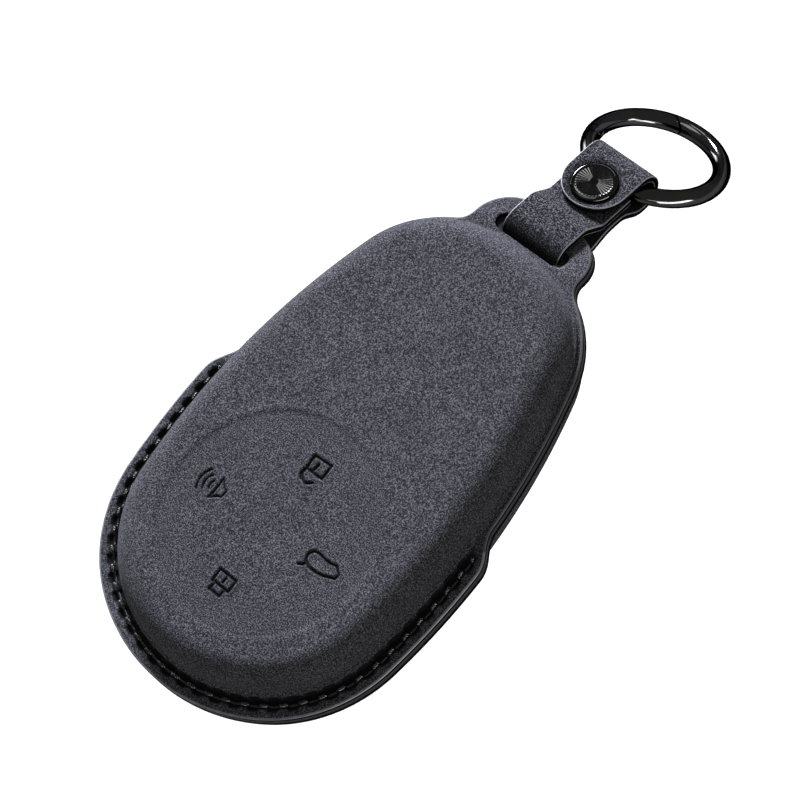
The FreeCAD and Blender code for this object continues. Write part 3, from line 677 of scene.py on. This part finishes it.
def pressed_field(points):
    """Depth of the round field and its signs, and how hard the suede is pressed there."""
    out = np.linalg.norm(points - FIELD, axis=1)
    step = FIELD_DEPTH * smooth((FIELD_RADIUS + FIELD_STEP_OUT - out) / FIELD_STEP_WIDTH)
    dish = FIELD_DISH * smooth((FIELD_RADIUS - out) / FIELD_DISH_REACH)
    ridge = RIDGE_HEIGHT * bell(out, FIELD_RADIUS + RIDGE_OUT, RIDGE_WIDTH)
    cut = np.zeros(len(points))
    lip = np.zeros(len(points))
    near = out < SIGNS_RADIUS
    close = points[near]
    wave, cross_wave = UNEVEN_WAVES
    uneven = LINE_UNEVEN * np.sin(close @ wave) * np.sin(close @ cross_wave)
    fine_gap = line_gap(close, FINE_SIGNS) + BOLD_LINE - FINE_LINE
    gap = np.minimum(line_gap(close, BOLD_SIGNS), fine_gap) + uneven
    cut[near] = smooth((BOLD_LINE + LINE_SLOPE_OUT - gap) / LINE_SLOPE)
    lip[near] = LINE_LIP * bell(gap, LINE_LIP_OUT, LINE_LIP_WIDTH)
    return step + dish - ridge - lip + LINE_DEPTH * cut, cut


def square_grid(half, step):
    """Points of a square grid round the field's middle."""
    line = np.arange(-half, half, step)
    return FIELD + plan_grid(line, line)


def field_points():
    """Points of the round field: close together along its edge and its signs, sparse between them."""
    signs = BOLD_SIGNS + FINE_SIGNS
    dense = square_grid(DENSE_HALF, DENSE_STEP)
    dense = dense[line_gap(dense, signs) < DENSE_REACH]
    sparse = square_grid(SPARSE_HALF, SPARSE_STEP)
    clear = np.linalg.norm(sparse - FIELD, axis=1) < SPARSE_RADIUS
    sparse = sparse[clear & (line_gap(sparse, signs) > SPARSE_GAP)]
    circle = circle_points(EDGE_COUNT)
    edge = [FIELD + circle * radius for radius in EDGE_RINGS]
    return np.concatenate((dense, sparse, *edge))


def tab_points(outer, holes):
    """Points inside the tab that let it bend."""
    grid = plan_grid(TAB_GRID_X, TAB_GRID_Y)
    kept = inside(grid, outer)
    for hole in holes:
        kept &= ~inside(grid, hole)
    return grid[kept & clear_of(grid, np.concatenate((outer, *holes)), TAB_GRID_GAP)]


# One moulded layer: insets of its outer and inner wall, levels of its rim's top and foot, the crease at the
# foot of its wall, the setback and arris of its rim's edge, and half its slot's length
Layer = namedtuple("Layer", "outer inner rim_top rim_foot crease setback arris slot_half")
SKIN_LAYER = Layer(
    outer=0,
    inner=SKIN,
    rim_top=SKIN + LINING,
    rim_foot=LINING,
    crease=CREASE,
    setback=0.0,
    arris=SKIN_ARRIS,
    slot_half=SLOT_HALF,
)
LINING_LAYER = Layer(
    outer=LINING_INSET,
    inner=LINING_INSET + LINING,
    rim_top=LINING - LINING_PLAY,
    rim_foot=LINING_PLAY,
    crease=0,
    setback=LINING_SETBACK,
    arris=LINING_ARRIS,
    slot_half=LINING_SLOT_HALF,
)

# Material places of a layer's and of the strap's faces
OUTSIDE, UNDERSIDE, ARRIS, CUT, LIP_ARRIS = range(5)


def outer_dome(pile, height, edge, layer, has_field):
    """Outside of the moulded dome. Returns the plan of its foot."""
    profile = dome_profile(height, edge, layer.outer, layer.rim_top, layer.crease)
    rings = [pocket_ring(offset, z) for offset, z in profile]
    ring_press_and_shade = [0.0] * len(rings)
    if layer.crease:
        # Painted shade at the wall's foot, ring by ring
        ring_press_and_shade = [painted_foot_shade(ring[:, :2], z - layer.rim_top) for ring, (_, z) in zip(rings, profile)]
        rings[0][:, 2] -= pits(rings[0][:, :2])
    top = rings[-1][:, :2]
    shares = np.linspace(0, 1, FACE_RINGS + 1)[1:]
    if has_field:
        circle = FIELD + unit(top - FIELD) * FIELD_PATCH
        for share in shares:
            plan = top * (1 - share) + circle * share
            rings.append(at_height(plan, height - pressed_field(plan)[0]))
        points, triangles = flat_fill(circle, [], field_points())
        drop, press_and_shade = pressed_field(points)
        pile.patch(at_height(points, height - drop), triangles, OUTSIDE, press_and_shade)
    else:
        for share in shares[:-1]:
            rings.append(at_height(top * (1 - share) + FIELD * share, height))
    ring_press_and_shade += [0.0] * (len(rings) - len(ring_press_and_shade))
    _, last = pile.rings(rings, OUTSIDE, ring_press_and_shade)
    if not has_field:
        pile.cap(last, ROUND_COUNT, (*FIELD, height))
    return rings[0][:, :2]


def inner_dome(pile, height, edge, layer):
    """Inside of the moulded dome. Returns the plan of its foot."""
    thickness = layer.inner - layer.outer
    profile = dome_profile(height - thickness, edge - thickness, layer.inner, layer.rim_foot, 0)
    rings = [pocket_ring(offset, z) for offset, z in profile]
    top = rings[-1]
    level = top[0, 2]
    for share in INNER_RINGS:
        rings.append(at_height(top[:, :2] * (1 - share) + FIELD * share, level))
    _, last = pile.rings([ring[::-1] for ring in rings], UNDERSIDE)
    pile.cap(last, ROUND_COUNT, (*FIELD, level), UNDERSIDE)
    return rings[0][:, :2]


def rim(pile, layer, outer_foot, inner_foot):
    """Top, foot and edges of a layer's rim with the tab and its slot."""
    slot = slot_outline(layer.slot_half)
    edge_line = RIM - RIM_NORMAL * layer.setback
    shoulder = edge_line - RIM_NORMAL * layer.arris
    upper = shoulder - RIM_NORMAL * BURNISHED
    extra = tab_points(upper, [outer_foot, slot])
    if layer.crease:
        extra = np.concatenate((extra, *[SEAM + SEAM_OUT * row for row in SEAM_ROWS]))
    points, triangles = flat_fill(upper, [outer_foot, slot], extra)
    sunk = pits(points) if layer.crease else np.zeros(len(points))
    # Painted shade in the seam groove: the suede turns dark as the groove deepens
    pile.patch(at_height(points, layer.rim_top - sunk), triangles, OUTSIDE, np.clip(sunk / GROOVE_SHADE_DEPTH, 0, 1))
    points, triangles = flat_fill(upper, [inner_foot, slot], tab_points(upper, [inner_foot, slot]))
    pile.patch(at_height(points, layer.rim_foot), triangles[:, ::-1], UNDERSIDE)
    side = [at_height(upper, layer.rim_top - (pits(upper) if layer.crease else 0.0))]
    for angle in np.linspace(QUARTER, 0, 5):
        plan = edge_line - RIM_NORMAL * layer.arris * (1 - math.cos(angle))
        drop = BURNISHED_DROP + layer.arris * (1 - math.sin(angle))
        side.append(at_height(plan, layer.rim_top - drop))
    lower_arris = layer.arris * LOWER_ARRIS
    for angle in np.linspace(0, -QUARTER, 4):
        plan = edge_line - RIM_NORMAL * lower_arris * (1 - math.cos(angle))
        side.append(at_height(plan, layer.rim_foot + lower_arris * (1 + math.sin(angle))))
    side.append(at_height(upper, layer.rim_foot))
    pile.rings(side[:6][::-1], np.where(RIM[:, 1] < PALE_EDGE_END, ARRIS, LIP_ARRIS).tolist())
    pile.rings(side[5:][::-1], CUT)
    pile.rings([at_height(slot, layer.rim_top), at_height(slot, layer.rim_foot)], CUT)


def shell(height, edge, layer, has_field=False):
    """One moulded layer: its dome outside and inside, and its rim with the tab."""
    pile = Pile()
    outer_foot = outer_dome(pile, height, edge, layer, has_field)
    inner_foot = inner_dome(pile, height, edge, layer)
    rim(pile, layer, outer_foot, inner_foot)
    return pile


def front_place(points):
    """Lifts the front half to the parting plane, with the tab's layers turned down past the bend line."""
    x, y, level = points.T
    down = level / math.cos(TAB_DROOP) - (y - TAB_BEND) * math.tan(TAB_DROOP)
    share = np.clip(0.5 + 0.5 * (down - level) / TAB_BEND_SOFT, 0, 1)
    least = down * (1 - share) + level * share - TAB_BEND_SOFT * share * (1 - share)
    on_tab = (np.abs(level) < TAB_LEVELS) & (y > TAB_BEND - TAB_BEND_REACH)
    return np.stack((x, y, np.where(on_tab, least, level) + PARTING), 1)


def rear_place(points):
    """Places the rear half, turned over at the parting plane, with its tab turned down as the front's is."""
    return front_place(points * (1, 1, -1))


def strand(pile, path):
    """A round strand along a path."""
    nearly_up = (0.03, 0.02, 1.0)
    along = unit(np.gradient(path, axis=0))
    lateral = unit(np.cross(along, nearly_up))
    normal = np.cross(lateral, along)
    lines = [path + STRAND_RADIUS * (x * lateral + y * normal) for x, y in circle_points(STRAND_SIDES)]
    first, last = pile.rings(list(np.stack(lines, 1)))
    pile.cap(first, STRAND_SIDES, path[0])
    pile.cap(last, STRAND_SIDES, path[-1])


def stitches():
    """Twisted thread that shows between its dives into the rim."""
    pile = Pile()
    plan = resample(seam_line(), THREAD_STEPS * STITCHES + 1, False)
    place = np.arange(len(plan)) / THREAD_STEPS
    dive = dive_share(place, THREAD_DIVE_START, THREAD_DIVE_RAMP)
    path = at_height(plan, THREAD_TOP - THREAD_DIVE * dive)
    along = unit(np.gradient(path, axis=0))
    side = at_height(outward_of_line(plan), 0.0)
    up = np.cross(along, side)
    for number in range(STRANDS):
        turn = FULL_TURN * (THREAD_TWIST * place + number / STRANDS)
        strand(pile, path + STRAND_RADIUS * (np.cos(turn)[:, None] * side + np.sin(turn)[:, None] * up))
    return pile


def on_strap(points):
    """From strap places (x, along, height) to the part's frame."""
    x, along, height = points.T
    y = PIVOT[0] + along * math.cos(DROOP) + height * math.sin(DROOP)
    z = PIVOT[1] - along * math.sin(DROOP) + height * math.cos(DROOP)
    return np.stack((x, y, z), 1)


def rounded_line(corners, step):
    """A line with its corners rounded, as points no more than a step apart."""
    corners = [(np.array(corner[:2]), corner[2]) for corner in corners]
    runs = [corners[0][0][None]]
    for (before, _), (corner, radius), (after, _) in zip(corners, corners[1:], corners[2:]):
        arrive = (corner - before) / np.linalg.norm(corner - before)
        leave = (after - corner) / np.linalg.norm(after - corner)
        turn = math.atan2(arrive[0] * leave[1] - arrive[1] * leave[0], arrive @ leave)
        inset = radius * math.tan(abs(turn) / 2)
        side = np.array((-arrive[1], arrive[0])) * math.copysign(1, turn)
        centre = corner - arrive * inset + side * radius
        start = math.atan2(*(corner - arrive * inset - centre)[::-1])
        angle = start + np.linspace(0, turn, max(4, math.ceil(abs(turn) * radius / step)))
        runs.append(centre + radius * np.stack((np.cos(angle), np.sin(angle)), 1))
    runs.append(corners[-1][0][None])
    line = np.concatenate(runs)
    filled = [line[0]]
    for a, b in zip(line, line[1:]):
        count = math.ceil(np.linalg.norm(b - a) / step)
        filled += [a + (b - a) * i / count for i in range(1, count + 1)]
    return np.array(filled)


def strap_section():
    """Section of the strap with softened edges: its points, and the material place of the face after each."""
    half = STRAP_THICKNESS / 2
    flat = STRAP_HALF - STRAP_SOFT
    middle = half - STRAP_SOFT
    across = np.linspace(-flat, flat, STRAP_COLUMNS)
    top = [(x, half) for x in across]
    bottom = [(-x, -half) for x in across]
    right = arc_profile(flat, middle, STRAP_SOFT, np.linspace(QUARTER, 0, 5)[1:])
    right += arc_profile(flat, -middle, STRAP_SOFT, np.linspace(0, -QUARTER, 5)[:-1])
    left = [(-x, y) for x, y in right[::-1]]
    faces = STRAP_COLUMNS - 1
    edge = [ARRIS] * 4 + [CUT] + [ARRIS] * 4
    return np.array(top + right + bottom + left), [OUTSIDE] * faces + edge + [UNDERSIDE] * faces + edge


def strap_loop():
    """Base under the snap, hump over the tab, way through the slots, lower run and fold round the ring."""
    pile = Pile()
    line = rounded_line(STRAP_LINE, STRAP_STEP)
    along = unit(np.gradient(line, axis=0))
    normal = np.stack((along[:, 1], -along[:, 0]), 1)
    section, places = strap_section()
    rings = []
    for point, up in zip(line, normal):
        rings.append(np.concatenate((section[:, :1], point + section[:, 1:] * up), 1))
    # Painted shade on the strap next to the slot
    ring_press_and_shade = SLOT_SHADE * smooth((SLOT_SHADE_REACH - line[:, 0]) / SLOT_SHADE_REACH)
    first, last = pile.rings(rings, places, ring_press_and_shade.tolist())
    count = len(section)
    pile.face([list(range(first, first + count))[::-1]], CUT)
    pile.face([list(range(last, last + count))], CUT)
    return pile


def from_snap(plan):
    """Distance of flap places from the snap's middle."""
    return np.linalg.norm(plan - (0, SNAP), axis=1)


def flap_top(plan):
    """Height of the flap's upper face, pressed in under the cap."""
    return FLAP_HIGH - DENT_DEPTH * (1 - smooth((from_snap(plan) - DENT_RADIUS) / DENT_FADE))


def strap_flap():
    """Snap end of the strap with its round tip, pressed in round the cap, with a ring of painted shade round
    the cap.
    """
    pile = Pile()
    tip = arc_points((0.0, FLAP_ROUND, STRAP_HALF), 0, math.pi, FULL_TURN)
    right = np.linspace((STRAP_HALF, FLAP_ROUND), (STRAP_HALF, FLAP_START), 15)
    start = np.linspace((STRAP_HALF, FLAP_START), (-STRAP_HALF, FLAP_START), 24)
    left = right[::-1] * (-1, 1)
    outline = joined((tip, right, start, left))[:-1]
    normal = outward(outline)
    normal[np.isclose(outline[:, 1], FLAP_START)] = (0, 0)
    upper = outline - normal * STRAP_SOFT
    grid = plan_grid(FLAP_GRID_X, FLAP_GRID_Y)
    grid = grid[inside(grid, upper) & clear_of(grid, upper, FLAP_GRID_GAP)]
    points, triangles = flat_fill(upper, [], grid)
    # A ring of painted shade on the flap round the cap's rim
    cap_ring_shade = MARK_SHADE * bell(from_snap(points), MARK_RADIUS, MARK_WIDTH)
    pile.patch(at_height(points, flap_top(points)), triangles, OUTSIDE, cap_ring_shade)
    pile.patch(at_height(points, FLAP_LOW), triangles[:, ::-1], UNDERSIDE)
    side = [at_height(upper, FLAP_LOW)]
    for angle in np.linspace(-QUARTER, 0, 5)[1:]:
        plan = upper + normal * STRAP_SOFT * math.cos(angle)
        side.append(at_height(plan, FLAP_LOW + STRAP_SOFT * (1 + math.sin(angle))))
    for angle in np.linspace(0, QUARTER, 5)[:-1]:
        plan = upper + normal * STRAP_SOFT * math.cos(angle)
        side.append(at_height(plan, FLAP_HIGH - STRAP_SOFT * (1 - math.sin(angle))))
    side.append(at_height(upper, flap_top(upper)))
    pile.rings(side[:6], CUT)
    pile.rings(side[5:], ARRIS)
    return pile


def fluted_cap():
    """Snap cap: rounded rim and a crown with radial flutes, in its own frame."""
    pile = Pile()
    count = FLUTES * FLUTE_STEPS
    circle = circle_points(count)
    half = FLUTE_STEPS / 2
    flute = np.abs(np.arange(count) % FLUTE_STEPS - half) / half
    rings = [at_height(radius * circle, z) for radius, z in CAP_RIM]
    for radius in FLUTE_RINGS:
        outer = min(1.0, (FLUTE_OUTER - radius) / FLUTE_OUTER_FADE)
        inner = smooth((radius - FLUTE_INNER) / FLUTE_INNER_FADE)
        rings.append(at_height(radius * circle, CAP_CROWN - FLUTE_SLOPE * radius * outer * inner * flute))
    first, last = pile.rings(rings)
    pile.cap(first, count, (0, 0, CAP_RIM[0][1]))
    pile.cap(last, count, (0, 0, CAP_CROWN))
    return pile


# Sockets of the colour kind of Blender's Mix node, which share their names with its other kinds
MIX_FACTOR = 0
MIX_COLOURS = (6, 7)
MIX_RESULT = 2

NEUTRAL = (1.0, 1.0, 1.0)
COOL = (0.97, 0.965, 1.08)


class Paint:
    """A material and short ways to wire its nodes."""

    def __init__(self, name):
        self.material = bpy.data.materials.new(name)
        self.material.use_nodes = True
        self.tree = self.material.node_tree
        self.tree.nodes.clear()
        self.shader = self.node("BsdfPrincipled")
        self.place = self.node("TexCoord")
        self.link(self.shader, "BSDF", self.node("OutputMaterial"), "Surface")

    def node(self, kind, **values):
        """A new node with values in its sockets."""
        node = self.tree.nodes.new("ShaderNode" + kind)
        for name, value in values.items():
            node.inputs[name].default_value = value
        return node

    def link(self, source, out, target, into):
        """Joins an output to an input."""
        self.tree.links.new(source.outputs[out], target.inputs[into])

    def noise(self, scale, detail, roughness=0.6, stretch=None):
        """Noise in the object's own frame, stretched or not."""
        node = self.node("TexNoise", Scale=scale, Detail=detail, Roughness=roughness)
        if stretch:
            mapping = self.node("Mapping", Scale=stretch)
            self.link(self.place, "Object", mapping, "Vector")
            self.link(mapping, "Vector", node, "Vector")
        else:
            self.link(self.place, "Object", node, "Vector")
        return node

    def ramp(self, source, stops):
        """Colours by the value of a noise; a stop is a position and a colour."""
        node = self.node("ValToRGB")
        elements = node.color_ramp.elements
        while len(elements) < len(stops):
            elements.new(0.5)
        for element, (position, colour) in zip(elements, stops):
            element.position = position
            element.color = (*colour, 1)
        self.link(source, "Fac", node, "Fac")
        return node

    def multiply(self, first, second):
        """Two ramps multiplied."""
        node = self.node("Mix")
        node.data_type = "RGBA"
        node.blend_type = "MULTIPLY"
        node.inputs[MIX_FACTOR].default_value = 1.0
        for source, into in zip((first, second), MIX_COLOURS):
            self.link(source, "Color", node, into)
        return node

    def pressed_and_shaded(self, body, colour):
        """A mix that turns to another colour by the mesh's value for compressed suede and painted shade."""
        press_and_shade = self.node("Attribute")
        press_and_shade.attribute_name = "press_and_shade"
        node = self.node("Mix")
        node.data_type = "RGBA"
        self.link(press_and_shade, "Fac", node, MIX_FACTOR)
        self.link(body, MIX_RESULT, node, MIX_COLOURS[0])
        node.inputs[MIX_COLOURS[1]].default_value = (*colour, 1)
        return node

    def colour(self, source, out="Color"):
        """Gives the surface its colour."""
        self.link(source, out, self.shader, "Base Color")

    def bump(self, source, distance, strength, under=None):
        """Relief from a noise, on top of other relief or alone; distance is in metres."""
        node = self.node("Bump", Distance=distance, Strength=strength)
        self.link(source, "Fac", node, "Height")
        if under:
            self.link(under, "Normal", node, "Normal")
        self.link(node, "Normal", self.shader, "Normal")
        return node

    def set(self, **values):
        """Values on the shader's own sockets."""
        for name, value in values.items():
            self.shader.inputs[name.replace("_", " ")].default_value = value


def grey(value, tint=NEUTRAL):
    """A grey, tinted or not."""
    return tuple(value * part for part in tint)


def suede(name, scale, tones, pressed_and_shaded, sheen, tint=NEUTRAL):
    """Napped suede: fine fibres, soft clouds where the nap lies over, darker where it is compressed in the
    sign lines and where shade is painted into grooves, creases, by the slot and round the cap.
    """
    dark, middle, light = [grey(tone, tint) for tone in tones]
    paint = Paint(name)
    fibre = paint.noise(scale, 2)
    speck = paint.ramp(fibre, ((0.36, dark), (0.5, middle), (0.65, light)))
    cloud = paint.noise(150, 3, 0.55)
    shade = paint.ramp(cloud, ((0.3, grey(0.91)), (0.7, grey(1.08))))
    body = paint.multiply(speck, shade)
    paint.colour(paint.pressed_and_shaded(body, grey(pressed_and_shaded)), MIX_RESULT)
    grain = paint.bump(fibre, 0.00011, 0.8)
    fuzz = paint.noise(8200, 2)
    paint.bump(fuzz, 0.00004, 0.5, grain)
    paint.set(Roughness=0.95, Specular_IOR_Level=0.05, Sheen_Weight=sheen, Sheen_Roughness=0.55)
    paint.set(Sheen_Tint=(0.72, 0.76, 0.9, 1))
    return paint.material


def cut_edge(name, dark, light, gloss, tint=NEUTRAL):
    """Cut leather edge, more or less burnished: fine layers along the edge."""
    paint = Paint(name)
    layers = paint.noise(1500, 3, stretch=(0.5, 0.5, 3.0))
    paint.colour(paint.ramp(layers, ((0.35, grey(dark, tint)), (0.65, grey(light, tint)))))
    paint.bump(layers, 0.00005, 0.5)
    paint.set(Roughness=0.75 - 0.5 * gloss, Specular_IOR_Level=gloss)
    return paint.material


def brushed_cloth(name, dark, light):
    """Brushed lining cloth."""
    paint = Paint(name)
    fibre = paint.noise(2600, 4, 0.7)
    paint.colour(paint.ramp(fibre, ((0.35, grey(dark)), (0.68, grey(light)))))
    paint.bump(fibre, 0.00009, 0.7)
    paint.set(Roughness=0.95, Specular_IOR_Level=0.15, Sheen_Weight=0.03)
    return paint.material


def waxed_thread(name, dark, light):
    """Black waxed thread."""
    paint = Paint(name)
    fibre = paint.noise(5200, 3)
    paint.colour(paint.ramp(fibre, ((0.35, grey(dark)), (0.7, grey(light)))))
    paint.bump(fibre, 0.00003, 0.6)
    paint.set(Roughness=0.3, Specular_IOR_Level=0.35)
    return paint.material


def gloss_metal(name, dark, light, rough_low, rough_high):
    """Black plated metal: nearly black up to its outline, with faint handling haze in its gloss."""
    paint = Paint(name)
    haze = paint.noise(420, 4)
    paint.colour(paint.ramp(haze, ((0.3, grey(dark)), (0.75, grey(light)))))
    rough = paint.ramp(haze, ((0.35, grey(rough_low)), (0.7, grey(rough_high))))
    paint.link(rough, "Color", paint.shader, "Roughness")
    scratch = paint.noise(2600, 3, stretch=(1.0, 0.15, 0.4))
    paint.bump(scratch, 0.000003, 0.3)
    paint.set(Metallic=1.0, Specular_Tint=(0.06, 0.06, 0.06, 1))
    return paint.material


def drawn_steel(name, dark, light):
    """Bright drawn wire."""
    paint = Paint(name)
    drawn = paint.noise(3000, 3, stretch=(1.0, 1.0, 0.2))
    paint.colour(paint.ramp(drawn, ((0.3, grey(dark)), (0.7, grey(light)))))
    paint.bump(drawn, 0.000006, 0.4)
    paint.set(Metallic=1.0, Roughness=0.3)
    return paint.material


SUEDE = suede("suede", 5000, (0.006, 0.028, 0.118), 0.004, 0.04, COOL)
# The strap's suede: coarser, more contrasting specks of its own, and tones darker than the cover's that paint
# in shade against the stronger light on the strap's slope
SHADED_STRAP_SUEDE = suede("strap_suede", 4100, (0.002, 0.012, 0.11), 0.003, 0.02, COOL)
FLESH = suede("flesh_side", 4500, (0.005, 0.01, 0.02), 0.004, 0.02)
PALE_ARRIS = cut_edge("cut_edge", 0.06, 0.13, 0.5, COOL)
DIM_ARRIS = cut_edge("lip_edge", 0.02, 0.045, 0.3, COOL)
DARK_EDGE = cut_edge("dark_edge", 0.003, 0.009, 0.0)
LINING_EDGE = cut_edge("lining_edge", 0.004, 0.012, 0.1)
LINING_CLOTH = brushed_cloth("lining_cloth", 0.005, 0.018)
CORE_BOARD = cut_edge("core_board", 0.006, 0.012, 0.2)
THREAD = waxed_thread("waxed_thread", 0.002, 0.007)
BLACK_METAL = gloss_metal("black_metal", 0.034, 0.044, 0.07, 0.12)
CAP_METAL = gloss_metal("cap_metal", 0.018, 0.024, 0.045, 0.06)
SNAP_METAL = gloss_metal("snap_metal", 0.02, 0.035, 0.2, 0.3)
STEEL = drawn_steel("bright_wire", 0.3, 0.5)

# Materials in the order of the material places
SKIN_PAINT = (SUEDE, FLESH, PALE_ARRIS, DARK_EDGE, DIM_ARRIS)
LINING_PAINT = (LINING_CLOTH, LINING_CLOTH, LINING_EDGE, LINING_EDGE, LINING_EDGE)
STRAP_PAINT = (SHADED_STRAP_SUEDE, FLESH, PALE_ARRIS, DARK_EDGE)

front = shell(FRONT_HEIGHT, FRONT_EDGE, SKIN_LAYER, has_field=True)
front = front.make("front_leather", SKIN_PAINT, transform=front_place)
rear = shell(REAR_HEIGHT, REAR_EDGE, SKIN_LAYER)
rear = rear.make("rear_leather", SKIN_PAINT, True, rear_place)
front_cloth = shell(FRONT_HEIGHT - LINING_INSET, FRONT_EDGE - LINING_INSET, LINING_LAYER)
front_cloth = front_cloth.make("front_lining_cloth", LINING_PAINT, transform=front_place)
rear_cloth = shell(REAR_HEIGHT - LINING_INSET, REAR_EDGE - LINING_INSET, LINING_LAYER)
rear_cloth = rear_cloth.make("rear_lining_cloth", LINING_PAINT, True, rear_place)
seam = stitches()
upper_thread = seam.make("upper_stitches", (THREAD,), transform=front_place)
lower_thread = seam.make("lower_stitches", (THREAD,), True, rear_place)
loop = strap_loop().make("strap_leather", STRAP_PAINT, transform=on_strap)
flap = strap_flap().make("flap_leather", STRAP_PAINT, transform=on_strap)
cap = fluted_cap().make("fluted_cap", (CAP_METAL,))
cap_seat = on_strap(np.array([(0.0, SNAP, FLAP_HIGH - CAP_SUNK)]))[0] * MM
cap.matrix_world = Matrix.Translation(Vector(cap_seat)) @ Matrix.Rotation(-DROOP, 4, "X")

RIDES = (
    (front, "cover", "front_skin", "suede"),
    (rear, "cover", "rear_skin", "suede"),
    (front_cloth, "cover", "front_lining", "lining"),
    (rear_cloth, "cover", "rear_lining", "lining"),
    (upper_thread, "cover", "needle_thread", "thread"),
    (lower_thread, "cover", "bobbin_thread", "thread"),
    (loop, "strap", "strap_loop", "strap_suede"),
    (cap, "flap", "snap_cap", "black_metal"),
)
for piece, body, node, finish in RIDES:
    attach(piece, body)
    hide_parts(node)

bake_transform(flap)
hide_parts("strap_flap")

NODE_PAINT = {
    "front_core": CORE_BOARD,
    "rear_core": CORE_BOARD,
    "snap_socket": SNAP_METAL,
    "snap_spring": STEEL,
    "snap_stud": SNAP_METAL,
    "snap_post": SNAP_METAL,
    "ring_body": BLACK_METAL,
    "ring_gate": BLACK_METAL,
    "gate_pin": BLACK_METAL,
    "gate_plunger": STEEL,
    "gate_spring": STEEL,
}
for node, paint in NODE_PAINT.items():
    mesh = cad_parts[node].data
    mesh.materials.clear()
    mesh.materials.append(paint)

# Stage, in metres. The floor lies below the hanging ring and gives the part no bounce light.
FLOOR_REACH = 4.0
FLOOR_LEVEL = -0.08
PART_AIM = (0.0, 0.02, 0.0)
RING_AIM = (0.0, 0.07, 0.0)


def floor():
    """Plain pale floor."""
    paint = Paint("pale_floor")
    grain = paint.noise(60, 3)
    paint.colour(paint.ramp(grain, ((0.3, (0.62, 0.6, 0.58)), (0.7, (0.64, 0.62, 0.6)))))
    paint.set(Roughness=0.9, Specular_IOR_Level=0.1)
    mesh = bpy.data.meshes.new("floor")
    signs = ((-1, -1), (1, -1), (1, 1), (-1, 1))
    corners = [(x * FLOOR_REACH, y * FLOOR_REACH, FLOOR_LEVEL) for x, y in signs]
    mesh.from_pydata(corners, [], [(0, 1, 2, 3)])
    mesh.materials.append(paint.material)
    piece = bpy.data.objects.new("floor", mesh)
    piece.visible_diffuse = False
    bpy.context.scene.collection.objects.link(piece)


def area_light(name, place, aim, size, power, tint=NEUTRAL, gloss_only=False):
    """A lamp of some width and height, seen in gloss only or lighting everything."""
    lamp = bpy.data.lights.new(name, "AREA")
    lamp.shape = "RECTANGLE"
    lamp.size, lamp.size_y = size
    lamp.energy = power
    lamp.color = tint
    piece = bpy.data.objects.new(name, lamp)
    piece.location = place
    piece.rotation_euler = (Vector(aim) - Vector(place)).to_track_quat("-Z", "Y").to_euler()
    piece.visible_diffuse = not gloss_only
    bpy.context.scene.collection.objects.link(piece)


floor()
area_light("key", (-0.86, 0.8, 0.585), PART_AIM, (0.24, 0.24), 62, (0.92, 0.955, 1.07))
area_light("left_spot", (-1.0, 0.35, 0.12), PART_AIM, (0.2, 0.2), 2.4)
area_light("right_strip", (0.72, -0.5, 0.27), PART_AIM, (0.5, 0.05), 1.1, (1.0, 0.95, 0.93))
area_light("cap_light", (-0.523, 0.918, 0.661), RING_AIM, (0.2, 0.08), 0.9, gloss_only=True)
area_light("left_box", (-0.95, 0.1, 0.07), RING_AIM, (0.4, 0.28), 11.0, gloss_only=True)
area_light("right_box", (0.92, -0.2, 0.06), RING_AIM, (1.0, 0.25), 26.0, gloss_only=True)
area_light("top_box", (-0.3, 0.32, 0.95), RING_AIM, (0.45, 0.45), 3.5, gloss_only=True)

world = bpy.data.worlds.new("studio")
bpy.context.scene.world = world
world.use_nodes = True
background = world.node_tree.nodes["Background"]
background.inputs["Color"].default_value = (1.0, 0.97, 0.96, 1)
background.inputs["Strength"].default_value = 0.38

# Camera, fitted to the photo
lens = bpy.data.cameras.new("camera")
lens.lens = 175.826
lens.sensor_width = 36
lens.clip_end = 20
camera = bpy.data.objects.new("camera", lens)
camera.location = (0.26927, -0.060024, 0.545359)
camera.rotation_mode = "QUATERNION"
camera.rotation_quaternion = Quaternion((0.916914, 0.133544, 0.196737, 0.320515))
bpy.context.scene.collection.objects.link(camera)
bpy.context.scene.camera = camera
bpy.context.scene.view_settings.view_transform = "Standard"
